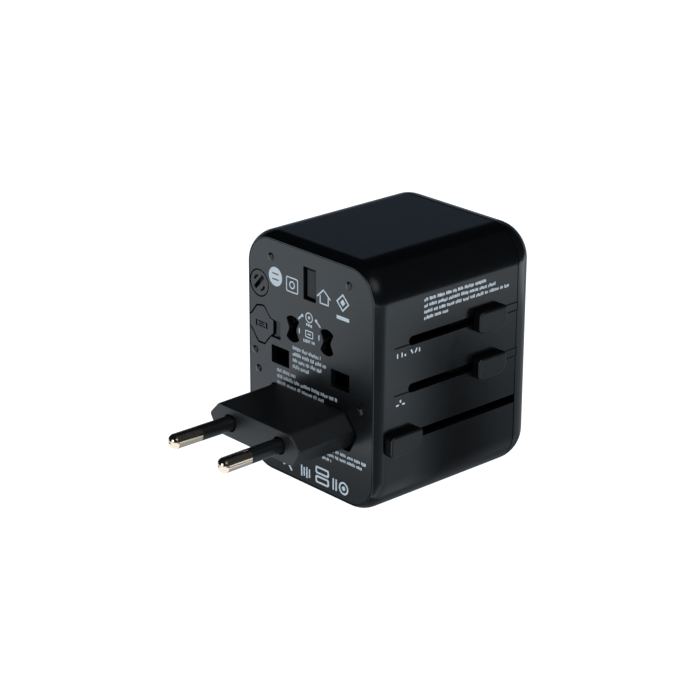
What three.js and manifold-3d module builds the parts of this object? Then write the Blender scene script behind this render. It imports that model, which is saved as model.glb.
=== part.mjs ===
// Universal travel adapter: a hand-sized block with three sliding plugs on one face
// (European round pins, British flat pins, US/Australian blades that turn) and a
// universal socket with USB ports on the opposite face. Millimetres, +Z up.
//
// Every piece is drawn with y measured behind the pin face, x across from the
// centre line and z up from the underside. The whole group is then moved so that
// the origin is the centre of the flat underside.

import * as THREE from 'three';
import { mergeVertices } from 'three/addons/utils/BufferGeometryUtils.js';
import Module from 'manifold-3d';

const wasm = await Module();
wasm.setup();

// ---- driving dimensions -------------------------------------------------------

const WIDTH = 49.2;
const HEIGHT = 65.4;
const DEPTH = 56.2;
const CORNER_R = 9.6;          // long edges, front to back
const LIP_R = 5.8;             // roll of the front edge, cut short by the pin face
const LIP_LENGTH = 3.7;
const REAR_R = 7.9;            // roll of the rear edge
const SEAM_Y = 48.1;           // where the rear cap meets the main shell
const WALL = 1.65;
const GAP = 0.3;               // clearance between neighbouring pieces
const ARC_STEPS = 5;           // facets in a quarter round of the housing
const SMALL_STEPS = 2;         // and of a small piece

const PLATE_T = 1.8;
const CAP_WALL = 3;
const CAP_LIP = 1.4;           // how much thicker than the shell the cap's side wall is
const SOCKET_WALL = 5.2;       // rear wall behind the socket apertures
const PAST = 1;                // how far a cutting solid runs past what it cuts

// plug standards
const UK_PIN_X = 11.11;
const UK_PIN = { width: 6.35, height: 4, length: 17.7 };
const UK_EARTH = { width: 4, height: 8, length: 22.7 };
const UK_EARTH_RISE = 22.2;
const UK_SLEEVE = 9.2;
const BLADE_X = 6.35;
const BLADE = { width: 6.35, thick: 1.5, length: 17 };
const EU_PIN = { root: 9.3, tip: 9.1, radius: 2, length: 19.4, sleeve: 10.2 };
const EU_BODY = { half: 17, halfHeight: 5.2, flat: 12.8, length: 17.9 };

// heights of the three slides
const UK_PIN_Z = 33.4;
const BLADE_Z = 42.1;
const EU_Z = 20.5;
const SLOT_H = 2.3;
const SLOTS = {
  usaus: { z: 44.95, front: 10.3 },
  uk: { z: 32.5, front: 10.3 },
  eu: { z: 19.75, front: 2.6 },
};
const SLIDE_TRAVEL = 24.1;     // British and US/Australian slides
const EU_TRAVEL = 37.4;

// sliding knobs
const NECK = { length: 4.9, height: 1.7, front: 35 };
const EU_NECK_FRONT = 5.1;
const PAD = { length: 9.8, above: 2.1, below: 3.2, out: 2.7, corner: 1.2, crown: 0.4 };

// socket side
const SOCKET_Z = 32;
const APERTURE = { inner: 7, outer: 14.6, half: 2.45 };
const USB_Z = 9.2;
const USB_A = { width: 13.1, height: 5.7, depth: 11.5, x: 12.1, wall: 0.35 };
const USB_C = { width: 8.94, height: 3.2, depth: 9, wall: 0.32 };
const PORT_RECESS = 0.8;

// fuse side
const FUSE = { x: -19.1, z: 51, radius: 2.5, length: 20, front: 4.6 };
const SPARE = { x: -18.9, z: 40 };
const FUSE_CAP_R = 3.3;
const COIN_SLOT = { half: 2.4, halfWidth: 0.45, depth: 1, tilt: -48 };

// raised locating nubs on the pin face: x and z of each
const NUB = { radius: 1.1, proud: 0.35, root: 0.5 };
const NUB_PLACES = [
  [-14.6, 59.1],
  [14.3, 59.1],
  [-20.4, 30.5],
  [-19.4, 27.4],
  [18.8, 27.4],
];

const BOW_R = 3.5;
const BOW_LOBE = Math.PI / 4;  // half-angle of each lobe of a bow-tie hole
const BOW_WAIST = 1.25;

// ---- materials ----------------------------------------------------------------

function finish(color, roughness, metalness = 0) {
  return new THREE.MeshStandardMaterial({ color, roughness, metalness });
}

const shellPlastic = () => finish('#14171b', 0.45);
const facePlastic = () => finish('#1b1e22', 0.5);
const knobPlastic = () => finish('#16191d', 0.42);
const innerPlastic = () => finish('#2b2d30', 0.6);
const palePlastic = () => finish('#b9b5a8', 0.55);
const nickel = () => finish('#c9c4ba', 0.22, 1);
const brass = () => finish('#b8923f', 0.35, 1);
const steel = () => finish('#a9acb0', 0.3, 1);
const boardGreen = () => finish('#1f5a35', 0.5);
const tapeYellow = () => finish('#c9a63a', 0.6);
const ceramicWhite = () => finish('#dcd8cd', 0.4);
const canSilver = () => finish('#8f9296', 0.35, 0.8);
const lensRed = () => finish('#a0201c', 0.2);

// ---- solids -------------------------------------------------------------------

function solid(geometry) {
  const bare = geometry.clone();
  bare.deleteAttribute('normal');
  bare.deleteAttribute('uv');
  const merged = mergeVertices(bare, 1e-4);
  return new wasm.Manifold(new wasm.Mesh({
    numProp: 3,
    vertProperties: new Float32Array(merged.attributes.position.array),
    triVerts: new Uint32Array(merged.index.array),
  }));
}

function geometryOf(piece) {
  const { vertProperties, triVerts } = piece.getMesh();
  const geometry = new THREE.BufferGeometry();
  geometry.setAttribute('position', new THREE.BufferAttribute(vertProperties, 3));
  geometry.setIndex(new THREE.BufferAttribute(triVerts, 1));
  geometry.computeVertexNormals();
  return geometry;
}

function block(x0, x1, y0, y1, z0, z1) {
  const geometry = new THREE.BoxGeometry(x1 - x0, y1 - y0, z1 - z0);
  geometry.translate((x0 + x1) / 2, (y0 + y1) / 2, (z0 + z1) / 2);
  return solid(geometry);
}

// A flat outline in x and z, made solid from y0 to y1.
function slab(shape, y0, y1, curveSegments = SMALL_STEPS) {
  const geometry = new THREE.ExtrudeGeometry(shape, {
    depth: y1 - y0, bevelEnabled: false, curveSegments,
  });
  geometry.rotateX(Math.PI / 2);
  geometry.translate(0, y1, 0);
  return solid(geometry);
}

// The same with both ends rolled in by a quarter round that lies inside y0 to y1.
function rolledSlab(shape, y0, y1, radius) {
  const geometry = new THREE.ExtrudeGeometry(shape, {
    depth: y1 - y0 - 2 * radius,
    bevelThickness: radius,
    bevelSize: radius,
    bevelOffset: -radius,
    bevelSegments: ARC_STEPS,
    curveSegments: ARC_STEPS,
  });
  geometry.rotateX(Math.PI / 2);
  geometry.translate(0, y1 - radius, 0);
  return solid(geometry);
}

// An outline in y and z, made solid from x0 to x1.
function sideSlab(shape, x0, x1, curveSegments = SMALL_STEPS) {
  const geometry = new THREE.ExtrudeGeometry(shape, {
    depth: x1 - x0, bevelEnabled: false, curveSegments,
  });
  geometry.rotateX(Math.PI / 2);
  geometry.rotateZ(Math.PI / 2);
  geometry.translate(x0, 0, 0);
  return solid(geometry);
}

function rod(x, z, y0, y1, radius, sides = 16) {
  const geometry = new THREE.CylinderGeometry(radius, radius, y1 - y0, sides);
  geometry.translate(x, (y0 + y1) / 2, z);
  return solid(geometry);
}

// A turned piece about an axis along y. Points are [radius, y], tip first.
function turned(x, z, points, sides = 16) {
  const profile = points.map(([r, y]) => new THREE.Vector2(r, y));
  const geometry = new THREE.LatheGeometry(profile, sides);
  geometry.translate(x, 0, z);
  return solid(geometry);
}

function union(pieces) {
  return pieces.reduce((whole, piece) => whole.add(piece));
}

function cut(piece, tools) {
  return tools.reduce((whole, tool) => whole.subtract(tool), piece);
}

// ---- outlines -----------------------------------------------------------------

function roundedRect(x0, x1, z0, z1, r) {
  const shape = new THREE.Shape();
  shape.moveTo(x0 + r, z0);
  shape.lineTo(x1 - r, z0);
  shape.absarc(x1 - r, z0 + r, r, -Math.PI / 2, 0);
  shape.lineTo(x1, z1 - r);
  shape.absarc(x1 - r, z1 - r, r, 0, Math.PI / 2);
  shape.lineTo(x0 + r, z1);
  shape.absarc(x0 + r, z1 - r, r, Math.PI / 2, Math.PI);
  shape.lineTo(x0, z0 + r);
  shape.absarc(x0 + r, z0 + r, r, Math.PI, 1.5 * Math.PI);
  return shape;
}

// The block's cross-section, drawn in by a given amount all round.
function section(inset = 0) {
  const x = WIDTH / 2 - inset;
  return roundedRect(-x, x, inset, HEIGHT - inset, Math.max(CORNER_R - inset, 1));
}

function centredRect(x, z, width, height, r = 0.3) {
  return roundedRect(x - width / 2, x + width / 2, z - height / 2, z + height / 2, r);
}

// Two round-ended lobes above and below a narrow waist: the hole that a flat
// blade needs to pass through at any angle up to 30 degrees either way.
function bowTie(x, z) {
  const shape = new THREE.Shape();
  const up = Math.PI / 2;
  shape.absarc(x, z, BOW_R, up - BOW_LOBE, up + BOW_LOBE);
  shape.lineTo(x - BOW_WAIST, z);
  shape.absarc(x, z, BOW_R, 3 * up - BOW_LOBE, 3 * up + BOW_LOBE);
  shape.lineTo(x + BOW_WAIST, z);
  return shape;
}

// Six-sided section of the European plug, flat above and below.
function hexagon(half, halfHeight, flat) {
  const shape = new THREE.Shape();
  const shoulder = { x: (half + flat) / 2 + 0.6, z: halfHeight * 0.62 };
  shape.moveTo(-flat, EU_Z - halfHeight);
  shape.lineTo(flat, EU_Z - halfHeight);
  shape.lineTo(shoulder.x, EU_Z - shoulder.z);
  shape.lineTo(half, EU_Z);
  shape.lineTo(shoulder.x, EU_Z + shoulder.z);
  shape.lineTo(flat, EU_Z + halfHeight);
  shape.lineTo(-flat, EU_Z + halfHeight);
  shape.lineTo(-shoulder.x, EU_Z + shoulder.z);
  shape.lineTo(-half, EU_Z);
  shape.lineTo(-shoulder.x, EU_Z - shoulder.z);
  return shape;
}

// Lobed outline of the pry-off fuse door.
function fuseDoorOutline(grow = 0) {
  const shape = new THREE.Shape();
  const x = SPARE.x + 0.5;
  const z = SPARE.z;
  const body = 3.3 + grow;
  const reach = 4.3 + grow;
  const lobe = 1.4 + grow;
  shape.moveTo(x - reach + 0.6, z - lobe);
  shape.lineTo(x - body, z - lobe);
  shape.lineTo(x - lobe - 0.6, z - body);
  shape.lineTo(x - lobe, z - reach);
  shape.lineTo(x + lobe, z - reach);
  shape.lineTo(x + lobe + 0.6, z - body);
  shape.lineTo(x + body, z - lobe);
  shape.lineTo(x + reach, z - lobe);
  shape.lineTo(x + reach, z + lobe);
  shape.lineTo(x + body, z + lobe);
  shape.lineTo(x + lobe + 0.6, z + body);
  shape.lineTo(x + lobe, z + reach);
  shape.lineTo(x - lobe, z + reach);
  shape.lineTo(x - lobe - 0.6, z + body);
  shape.lineTo(x - body, z + lobe);
  shape.lineTo(x - reach + 0.6, z + lobe);
  return shape;
}

// ---- scene graph --------------------------------------------------------------

const adapter = new THREE.Group();
adapter.position.y = -DEPTH / 2;

function add(name, piece, material) {
  const mesh = new THREE.Mesh(geometryOf(piece), material);
  mesh.name = name;
  adapter.add(mesh);
}

// ---- housing ------------------------------------------------------------------

// The full outer form: a long-edge radius all round, the front roll cut short at
// the pin face and the rear roll complete.
function outerForm() {
  const lip = rolledSlab(section(), LIP_LENGTH - LIP_R, DEPTH + LIP_R, LIP_R);
  const rear = rolledSlab(section(), -REAR_R - GAP, DEPTH, REAR_R);
  const slice = block(-WIDTH, WIDTH, 0, DEPTH + PAST, -PAST, HEIGHT + PAST);
  return lip.intersect(rear).intersect(slice);
}

function slotCut(slot, rearEnd) {
  const r = SLOT_H / 2;
  const shape = new THREE.Shape();
  shape.moveTo(slot.front + r, slot.z - r);
  shape.lineTo(rearEnd, slot.z - r);
  shape.lineTo(rearEnd, slot.z + r);
  shape.lineTo(slot.front + r, slot.z + r);
  shape.absarc(slot.front + r, slot.z, r, Math.PI / 2, 1.5 * Math.PI);
  return sideSlab(shape, WIDTH / 2 - 2 * WALL, WIDTH / 2 + PAST);
}

function addMainShell() {
  const ahead = block(-WIDTH, WIDTH, -PAST, SEAM_Y - GAP / 2, -PAST, HEIGHT + PAST);
  const shell = outerForm().intersect(ahead);
  const hollow = slab(section(WALL), -PAST, DEPTH, ARC_STEPS);
  const slots = Object.values(SLOTS).map((slot) => slotCut(slot, DEPTH));
  add('main_shell', cut(shell, [hollow, ...slots]), shellPlastic());
}

function addPinPlate() {
  const plate = slab(section(WALL + GAP), 0, PLATE_T, ARC_STEPS);
  const play = 0.3;
  const plugPlay = 0.4;
  const through = (shape, curveSegments) => slab(shape, -PAST, DEPTH, curveSegments);
  const pinHoles = [-UK_PIN_X, UK_PIN_X].map((x) => through(
    centredRect(x, UK_PIN_Z, UK_PIN.width + play, UK_PIN.height + 2 * play),
  ));
  const bladeHoles = [-BLADE_X, BLADE_X].map((x) => through(bowTie(x, BLADE_Z), 6));
  const plugHole = hexagon(EU_BODY.half + plugPlay, EU_BODY.halfHeight + plugPlay, EU_BODY.flat);
  const holes = [
    ...pinHoles,
    ...bladeHoles,
    through(centredRect(0, UK_PIN_Z + UK_EARTH_RISE, UK_EARTH.width + 2 * play,
      UK_EARTH.height + 2 * play)),
    through(plugHole),
    rod(FUSE.x, FUSE.z, -PAST, DEPTH, FUSE_CAP_R + play, 20),
    through(fuseDoorOutline(play)),
  ];
  const nubs = NUB_PLACES.map(([x, z]) => rod(x, z, -NUB.proud, NUB.root, NUB.radius, 10));
  add('pin_plate', union([cut(plate, holes), ...nubs]), facePlastic());
}

// The seat that the shutter's spring stands on, inside the cap.
const LEDGE = { half: 6, bottom: 12.6 };
const BOSS = { half: 17.5, bottom: 27.6, top: 60, corner: 2 };
const LENS = { z: 43, radius: 1.5 };

function addRearCap() {
  const behind = block(-WIDTH, WIDTH, SEAM_Y + GAP / 2, DEPTH + PAST, -PAST, HEIGHT + PAST);
  const cap = outerForm().intersect(behind);
  const hollow = slab(section(WALL + CAP_LIP), 0, DEPTH - CAP_WALL);
  const side = WIDTH / 2;
  const inside = DEPTH - 2 * SOCKET_WALL;
  const through = (shape, curveSegments) => slab(shape, inside, DEPTH + PAST, curveSegments);
  // Fingers that reach forward from the cap and close the rear of the two long slots.
  const fingerFront = NECK.front + NECK.length + 2.5 * GAP;
  const fingers = [SLOTS.usaus, SLOTS.uk].map((slot) => {
    const half = SLOT_H / 2 - GAP;
    return block(side - WALL, side, fingerFront, SEAM_Y + 2, slot.z - half, slot.z + half);
  });
  const boss = roundedRect(-BOSS.half, BOSS.half, BOSS.bottom, BOSS.top, BOSS.corner);
  const socketBoss = slab(boss, DEPTH - SOCKET_WALL, DEPTH - PAST);
  const springLedge = block(-LEDGE.half, LEDGE.half, SEAM_Y + 3 * GAP, DEPTH - PAST,
    LEDGE.bottom, SPRING.bottom - GAP);
  const width = APERTURE.outer - APERTURE.inner;
  const middle = (APERTURE.outer + APERTURE.inner) / 2;
  const apertures = [-1, 1].flatMap((hand) => [
    through(centredRect(hand * middle, SOCKET_Z, width, 2 * APERTURE.half, 0.5)),
    through(bowTie(hand * BLADE_X, SOCKET_Z), 6),
  ]);
  const earthPlay = 0.8;
  const earth = through(centredRect(0, SOCKET_Z + UK_EARTH_RISE, UK_EARTH.width + earthPlay,
    UK_EARTH.height + earthPlay, 0.5));
  const lensHole = rod(0, LENS.z, inside, DEPTH + PAST, LENS.radius + GAP, 12);
  const portPlay = 0.7;
  const ports = [-USB_A.x, USB_A.x].map((x) => through(
    centredRect(x, USB_Z, USB_A.width + portPlay, USB_A.height + portPlay, 0.6),
  ));
  const portC = through(centredRect(0, USB_Z, USB_C.width + portPlay, USB_C.height + portPlay, 1.9));
  const body = union([cut(cap, [hollow]), socketBoss, springLedge, ...fingers]);
  add('rear_cap', cut(body, [...apertures, earth, lensHole, ...ports, portC]), shellPlastic());
}

function addPilotLens() {
  const front = DEPTH - SOCKET_WALL;
  add('pilot_lens', rod(0, LENS.z, front, DEPTH - 0.1, LENS.radius, 12), lensRed());
}

const DECK = { front: 2.4, usbRear: 48.2, usbBottom: 12.6, usbTop: 13.8 };
const RAIL = {
  rear: 46, bottom: 27.2, top: 28.3, ribTop: 29.8, ribFront: 3, ribRear: 33, ribWidth: 1,
  ribs: [-15.6, 17.4],
};

function addDecks() {
  const half = WIDTH / 2 - WALL - GAP;
  const usbDeck = block(-half, half, DECK.front, DECK.usbRear, DECK.usbBottom, DECK.usbTop);
  add('usb_deck', usbDeck, innerPlastic());
  const rail = block(-half, half, DECK.front, RAIL.rear, RAIL.bottom, RAIL.top);
  const ribs = RAIL.ribs.map((x) => block(x, x + RAIL.ribWidth, RAIL.ribFront, RAIL.ribRear,
    RAIL.top - 0.1, RAIL.ribTop));
  add('rail_deck', union([rail, ...ribs]), innerPlastic());
}

// ---- socket side --------------------------------------------------------------

const CLIP = { inner: 8, outer: 13.6, front: 37, rear: 48, half: 3.1, sheet: 0.5, floor: 0.4 };
const BUS = { inner: 8, outer: 11, front: 4, rear: 36.6, bottom: 28.6, top: 29.2 };
const CARRIER = { half: 16, front: 34.4, rear: 48.6, bottom: 28.9, top: 39 };

// A block on one side of the centre line, from x0 to x1 away from it.
function sideBlock(side, x0, x1, ...rest) {
  return block(Math.min(side * x0, side * x1), Math.max(side * x0, side * x1), ...rest);
}

function addContactCarrier() {
  const { half, front, rear, bottom, top } = CARRIER;
  const play = 0.6;
  const pocketTop = SOCKET_Z + CLIP.half + 1.1;
  const pockets = [-1, 1].map((side) => sideBlock(side, CLIP.inner - play, CLIP.outer + play,
    CLIP.front - 0.8, rear + PAST, bottom - PAST, pocketTop));
  const busWays = [-1, 1].map((side) => sideBlock(side, BUS.inner - play, BUS.outer + play,
    front - PAST, CLIP.front, bottom - PAST, BUS.top + 1.8));
  const body = block(-half, half, front, rear, bottom, top);
  add('contact_carrier', cut(body, [...pockets, ...busWays]), palePlastic());
}

// A brass clip: two long leaves joined by a floor at the inner end.
function socketClip(side) {
  const z0 = SOCKET_Z - CLIP.half + CLIP.floor;
  const z1 = SOCKET_Z + CLIP.half;
  const outer = sideBlock(side, CLIP.inner, CLIP.outer, CLIP.front, CLIP.rear, z0, z1);
  const inner = sideBlock(side, CLIP.inner - PAST, CLIP.outer + PAST, CLIP.front + CLIP.sheet,
    CLIP.rear + PAST, z0 + CLIP.sheet, z1 - CLIP.sheet);
  return outer.subtract(inner);
}

function addContacts() {
  for (const [name, side] of [['live', 1], ['neutral', -1]]) {
    const bus = sideBlock(side, BUS.inner, BUS.outer, BUS.front, BUS.rear, BUS.bottom, BUS.top);
    add(`${name}_contact`, socketClip(side), brass());
    add(`${name}_bus`, bus, brass());
  }
}

const SHUTTER = {
  front: 49.2, rear: 50.6, bottom: 28.4, top: 35.8, half: 16.2, stemHalf: 2,
  foot: 25.4, footTop: 26.4, footRear: 52.8,
};
const SPRING = { y: 51.5, bottom: 14.3, coil: 1.2, wire: 0.22, turns: 5 };

function addShutter() {
  const { front, rear, bottom, top, half, stemHalf, foot, footTop, footRear } = SHUTTER;
  const plate = block(-half, half, front, rear, bottom, top);
  const shelf = block(-stemHalf, stemHalf, rear - 0.1, footRear, foot, footTop);
  const stem = block(-stemHalf, stemHalf, front, rear, foot, bottom + 0.1);
  add('safety_shutter', union([plate, stem, shelf]), palePlastic());
}

class Helix extends THREE.Curve {
  getPoint(t) {
    const turn = 2 * Math.PI * SPRING.turns * t;
    const rise = SHUTTER.foot - GAP - 2 * SPRING.wire - SPRING.bottom;
    return new THREE.Vector3(
      SPRING.coil * Math.cos(turn),
      SPRING.y + SPRING.coil * Math.sin(turn),
      SPRING.bottom + SPRING.wire + rise * t,
    );
  }
}

function addShutterSpring() {
  const wire = new THREE.Shape();
  wire.absarc(0, 0, SPRING.wire, 0, 2 * Math.PI);
  const geometry = new THREE.ExtrudeGeometry(wire, {
    extrudePath: new Helix(), steps: SPRING.turns * 9, curveSegments: 3, bevelEnabled: false,
  });
  add('shutter_spring', solid(geometry), steel());
}

// ---- USB side -----------------------------------------------------------------

const TONGUE_A = { half: 5.5, bottom: 0.2, top: 2 };
const TONGUE_C = { half: 3.3, halfThick: 0.35 };

function addUsbPorts() {
  const y1 = DEPTH - PORT_RECESS;
  for (const [name, x] of [['left', -USB_A.x], ['right', USB_A.x]]) {
    const outer = slab(centredRect(x, USB_Z, USB_A.width, USB_A.height, 0.4), y1 - USB_A.depth, y1);
    const inner = slab(centredRect(x, USB_Z, USB_A.width - 2 * USB_A.wall,
      USB_A.height - 2 * USB_A.wall, 0.3), y1 - USB_A.depth - PAST, y1 + PAST);
    add(`usb_a_shell_${name}`, outer.subtract(inner), steel());
    const { half, bottom, top } = TONGUE_A;
    const tongue = block(x - half, x + half, y1 - USB_A.depth, y1 - 1, USB_Z + bottom, USB_Z + top);
    add(`usb_a_tongue_${name}`, tongue, innerPlastic());
  }
  const shell = slab(centredRect(0, USB_Z, USB_C.width, USB_C.height, 1.5), y1 - USB_C.depth, y1);
  const bore = slab(centredRect(0, USB_Z, USB_C.width - 2 * USB_C.wall,
    USB_C.height - 2 * USB_C.wall, 1.2), y1 - USB_C.depth - PAST, y1 + PAST);
  add('usb_c_shell', shell.subtract(bore), steel());
  const { half, halfThick } = TONGUE_C;
  const tongue = block(-half, half, y1 - USB_C.depth, y1 - 0.8, USB_Z - halfThick, USB_Z + halfThick);
  add('usb_c_tongue', tongue, innerPlastic());
}

const BOARD = { half: 17.8, front: 6, rear: 51.4, thick: 1.6, top: 5.7 };
const TRANSFORMER = {
  coreHalf: 7.6, coreFront: 15, coreRear: 28, coreHeight: 5.6,
  coilHalf: 5.2, coilFront: 13.2, coilRear: 29.8, coilHeight: 4.4,
};
const CANS = [
  { name: 'input_capacitor', x: -12.8, front: 9, rear: 24, radius: 3, sides: 14 },
  { name: 'output_capacitor_left', x: -11, front: 29, rear: 40, radius: 2.5, sides: 12 },
  { name: 'output_capacitor_right', x: 11.4, front: 31, rear: 41, radius: 2.5, sides: 12 },
];
const CHIPS = [
  { name: 'bridge_rectifier', x0: 9.8, x1: 16.2, front: 9, rear: 15.6, height: 2.4 },
  { name: 'control_chip', x0: 10.2, x1: 15.2, front: 19, rear: 25, height: 1.5 },
];
const CHOKE = { x: -1.5, front: 33, rear: 38.5, radius: 3, bore: 1.2 };

function addPowerSupply() {
  const seat = BOARD.top + GAP;
  const board = block(-BOARD.half, BOARD.half, BOARD.front, BOARD.rear,
    BOARD.top - BOARD.thick, BOARD.top);
  add('usb_board', board, boardGreen());
  const t = TRANSFORMER;
  add('transformer', union([
    block(-t.coreHalf, t.coreHalf, t.coreFront, t.coreRear, seat, seat + t.coreHeight),
    block(-t.coilHalf, t.coilHalf, t.coilFront, t.coilRear, seat, seat + t.coilHeight),
  ]), tapeYellow());
  for (const { name, x, front, rear, radius, sides } of CANS) {
    add(name, rod(x, seat + radius, front, rear, radius, sides), canSilver());
  }
  for (const { name, x0, x1, front, rear, height } of CHIPS) {
    add(name, block(x0, x1, front, rear, seat, seat + height), innerPlastic());
  }
  const middle = seat + CHOKE.radius;
  const core = rod(CHOKE.x, middle, CHOKE.front, CHOKE.rear, CHOKE.radius, 12);
  const bore = rod(CHOKE.x, middle, CHOKE.front - PAST, CHOKE.rear + PAST, CHOKE.bore, 8);
  add('filter_choke', core.subtract(bore), tapeYellow());
}

// ---- fuse side ----------------------------------------------------------------

const FERRULE = { length: 5, proud: 0.2 };
const FUSE_CLIP = { length: 4, sheet: 0.45, below: 3.4, above: 1.6 };
const CAP_STEM_R = 2.6;
const DOOR_LUG = { half: 2.4, halfHeight: 1.2, rear: 3.4 };

function fuseBody(x, z, front) {
  const rear = front + FUSE.length;
  const neck = FUSE.radius - FERRULE.proud;
  return turned(x, z, [
    [0, front],
    [FUSE.radius, front],
    [FUSE.radius, front + FERRULE.length],
    [neck, front + FERRULE.length],
    [neck, rear - FERRULE.length],
    [FUSE.radius, rear - FERRULE.length],
    [FUSE.radius, rear],
    [0, rear],
  ], 14);
}

// A spring clip round the fuse, open at the top.
function fuseClip(x, z, front) {
  const bore = FUSE.radius + GAP;
  const half = bore + FUSE_CLIP.sheet;
  const rear = front + FUSE_CLIP.length;
  const top = z + FUSE_CLIP.above;
  const body = block(x - half, x + half, front, rear, z - FUSE_CLIP.below, top);
  const round = rod(x, z, front - PAST, rear + PAST, bore, 14);
  const mouth = block(x - bore, x + bore, front - PAST, rear + PAST, z, top + PAST);
  return cut(body, [round, mouth]);
}

function addFuses() {
  add('fuse', fuseBody(FUSE.x, FUSE.z, FUSE.front), ceramicWhite());
  add('spare_fuse', fuseBody(SPARE.x, SPARE.z, FUSE.front - 0.6), ceramicWhite());
  add('fuse_clip_front', fuseClip(FUSE.x, FUSE.z, FUSE.front + 0.6), brass());
  const rearClip = FUSE.front + FUSE.length - FUSE_CLIP.length - 0.6;
  add('fuse_clip_rear', fuseClip(FUSE.x, FUSE.z, rearClip), brass());
  const sunk = 0.1;
  const disc = rod(FUSE.x, FUSE.z, sunk, PLATE_T, FUSE_CAP_R, 20);
  const stem = rod(FUSE.x, FUSE.z, PLATE_T - sunk, FUSE.front - GAP, CAP_STEM_R, 14);
  const { half, halfWidth, depth, tilt } = COIN_SLOT;
  const coinSlot = block(-half, half, -depth, depth, -halfWidth, halfWidth)
    .rotate([0, tilt, 0])
    .translate([FUSE.x, 0, FUSE.z]);
  add('fuse_cap', disc.add(stem).subtract(coinSlot), facePlastic());
  const door = slab(fuseDoorOutline(), sunk, PLATE_T);
  const lug = block(SPARE.x - DOOR_LUG.half, SPARE.x + DOOR_LUG.half, PLATE_T - sunk, DOOR_LUG.rear,
    SPARE.z - DOOR_LUG.halfHeight, SPARE.z + DOOR_LUG.halfHeight);
  add('fuse_door', door.add(lug), facePlastic());
}

// ---- slides -------------------------------------------------------------------

const CARRIAGE = { front: 26.4, rear: 33.4 };
const ARM = { inner: 17.2, outer: WIDTH / 2 - WALL - 0.4 };

// An arm inside the wall and the neck that passes through the slot.
function armAndNeck(z, innerX, y0, neckFront) {
  const half = NECK.height / 2;
  const neckRear = neckFront + NECK.length;
  const alongWall = block(ARM.inner, ARM.outer, y0, neckRear, z - half, z + half);
  const reach = block(innerX, ARM.outer, y0, y0 + 5, z - half, z + half);
  const neck = block(ARM.inner, WIDTH / 2, neckFront, neckRear, z - half, z + half);
  return union([alongWall, reach, neck]);
}

// The thumb pad outside the wall, hung a little below its slot.
function addKnob(name, z, neckFront) {
  const y0 = neckFront + (NECK.length - PAD.length) / 2;
  const x0 = WIDTH / 2 + GAP;
  const x1 = WIDTH / 2 + PAD.out;
  const outline = roundedRect(y0, y0 + PAD.length, z - PAD.below, z + PAD.above, PAD.corner);
  const { crown } = PAD;
  const flat = sideSlab(outline, x0, x1 - crown, 3);
  const crownOutline = roundedRect(y0 + crown, y0 + PAD.length - crown, z - PAD.below + crown,
    z + PAD.above - crown, PAD.corner - crown);
  add(name, flat.add(sideSlab(crownOutline, x1 - crown - 0.1, x1, 3)), knobPlastic());
}

function flatPin(x, z, size, y0) {
  const chamfer = 0.6;
  const tip = slab(centredRect(x, z, size.width - 2 * chamfer, size.height - 2 * chamfer), y0, y0 + 2);
  return tip.add(slab(centredRect(x, z, size.width, size.height), y0 + chamfer, y0 + size.length));
}

const UK_CORE = { width: 5, height: 2.7, socket: 0.6, seat: 4 };
const UK_FRAME = { left: -15.2, right: 16.6, bottom: 30.2, top: 36.8 };
const UK_YOKE = { inner: -11.8, right: 4.6, bottom: 50.2, top: 60.6 };

function ukPin(side) {
  const x = side * UK_PIN_X;
  const tip = SLIDE_TRAVEL - UK_PIN.length;
  const sleeveFront = SLIDE_TRAVEL - UK_SLEEVE;
  const metal = flatPin(x, UK_PIN_Z, { ...UK_PIN, length: sleeveFront - tip - GAP }, tip);
  const core = centredRect(x, UK_PIN_Z, UK_CORE.width, UK_CORE.height);
  return metal.add(slab(core, tip + 2, CARRIAGE.front + UK_CORE.seat));
}

function ukSleeve(side) {
  const x = side * UK_PIN_X;
  const front = SLIDE_TRAVEL - UK_SLEEVE;
  const play = 0.5;
  const outer = slab(centredRect(x, UK_PIN_Z, UK_PIN.width, UK_PIN.height), front, CARRIAGE.front - GAP);
  const bore = centredRect(x, UK_PIN_Z, UK_CORE.width + play, UK_CORE.height + play);
  return outer.subtract(slab(bore, 0, DEPTH));
}

// The carriage holds the line pins low down and, up a column, the earth pin.
function addUkSlide() {
  const { front, rear } = CARRIAGE;
  const earthZ = UK_PIN_Z + UK_EARTH_RISE;
  const { left, right, bottom, top } = UK_FRAME;
  const lower = block(left, right, front, rear, bottom, top);
  const column = block(left, UK_YOKE.inner, front, rear, bottom, UK_YOKE.top);
  const upper = block(left, UK_YOKE.right, front, rear, UK_YOKE.bottom, UK_YOKE.top);
  const arm = armAndNeck(SLOTS.uk.z, 14, front, NECK.front);
  const play = UK_CORE.socket;
  const pocket = (x, z, width, height) => slab(centredRect(x, z, width + play, height + play),
    front - PAST, front + UK_CORE.seat + GAP);
  const pockets = [
    pocket(-UK_PIN_X, UK_PIN_Z, UK_CORE.width, UK_CORE.height),
    pocket(UK_PIN_X, UK_PIN_Z, UK_CORE.width, UK_CORE.height),
    pocket(0, earthZ, UK_EARTH.width, UK_EARTH.height),
  ];
  add('uk_carriage', cut(union([lower, column, upper, arm]), pockets), innerPlastic());
  addKnob('uk_knob', SLOTS.uk.z, NECK.front);
  add('uk_live_pin', ukPin(1), nickel());
  add('uk_neutral_pin', ukPin(-1), nickel());
  add('uk_live_sleeve', ukSleeve(1), innerPlastic());
  add('uk_neutral_sleeve', ukSleeve(-1), innerPlastic());
  const earthTip = SLIDE_TRAVEL - UK_EARTH.length;
  const earth = { ...UK_EARTH, length: front + UK_CORE.seat - earthTip };
  add('uk_earth_pin', flatPin(0, earthZ, earth, earthTip), innerPlastic());
}

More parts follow.
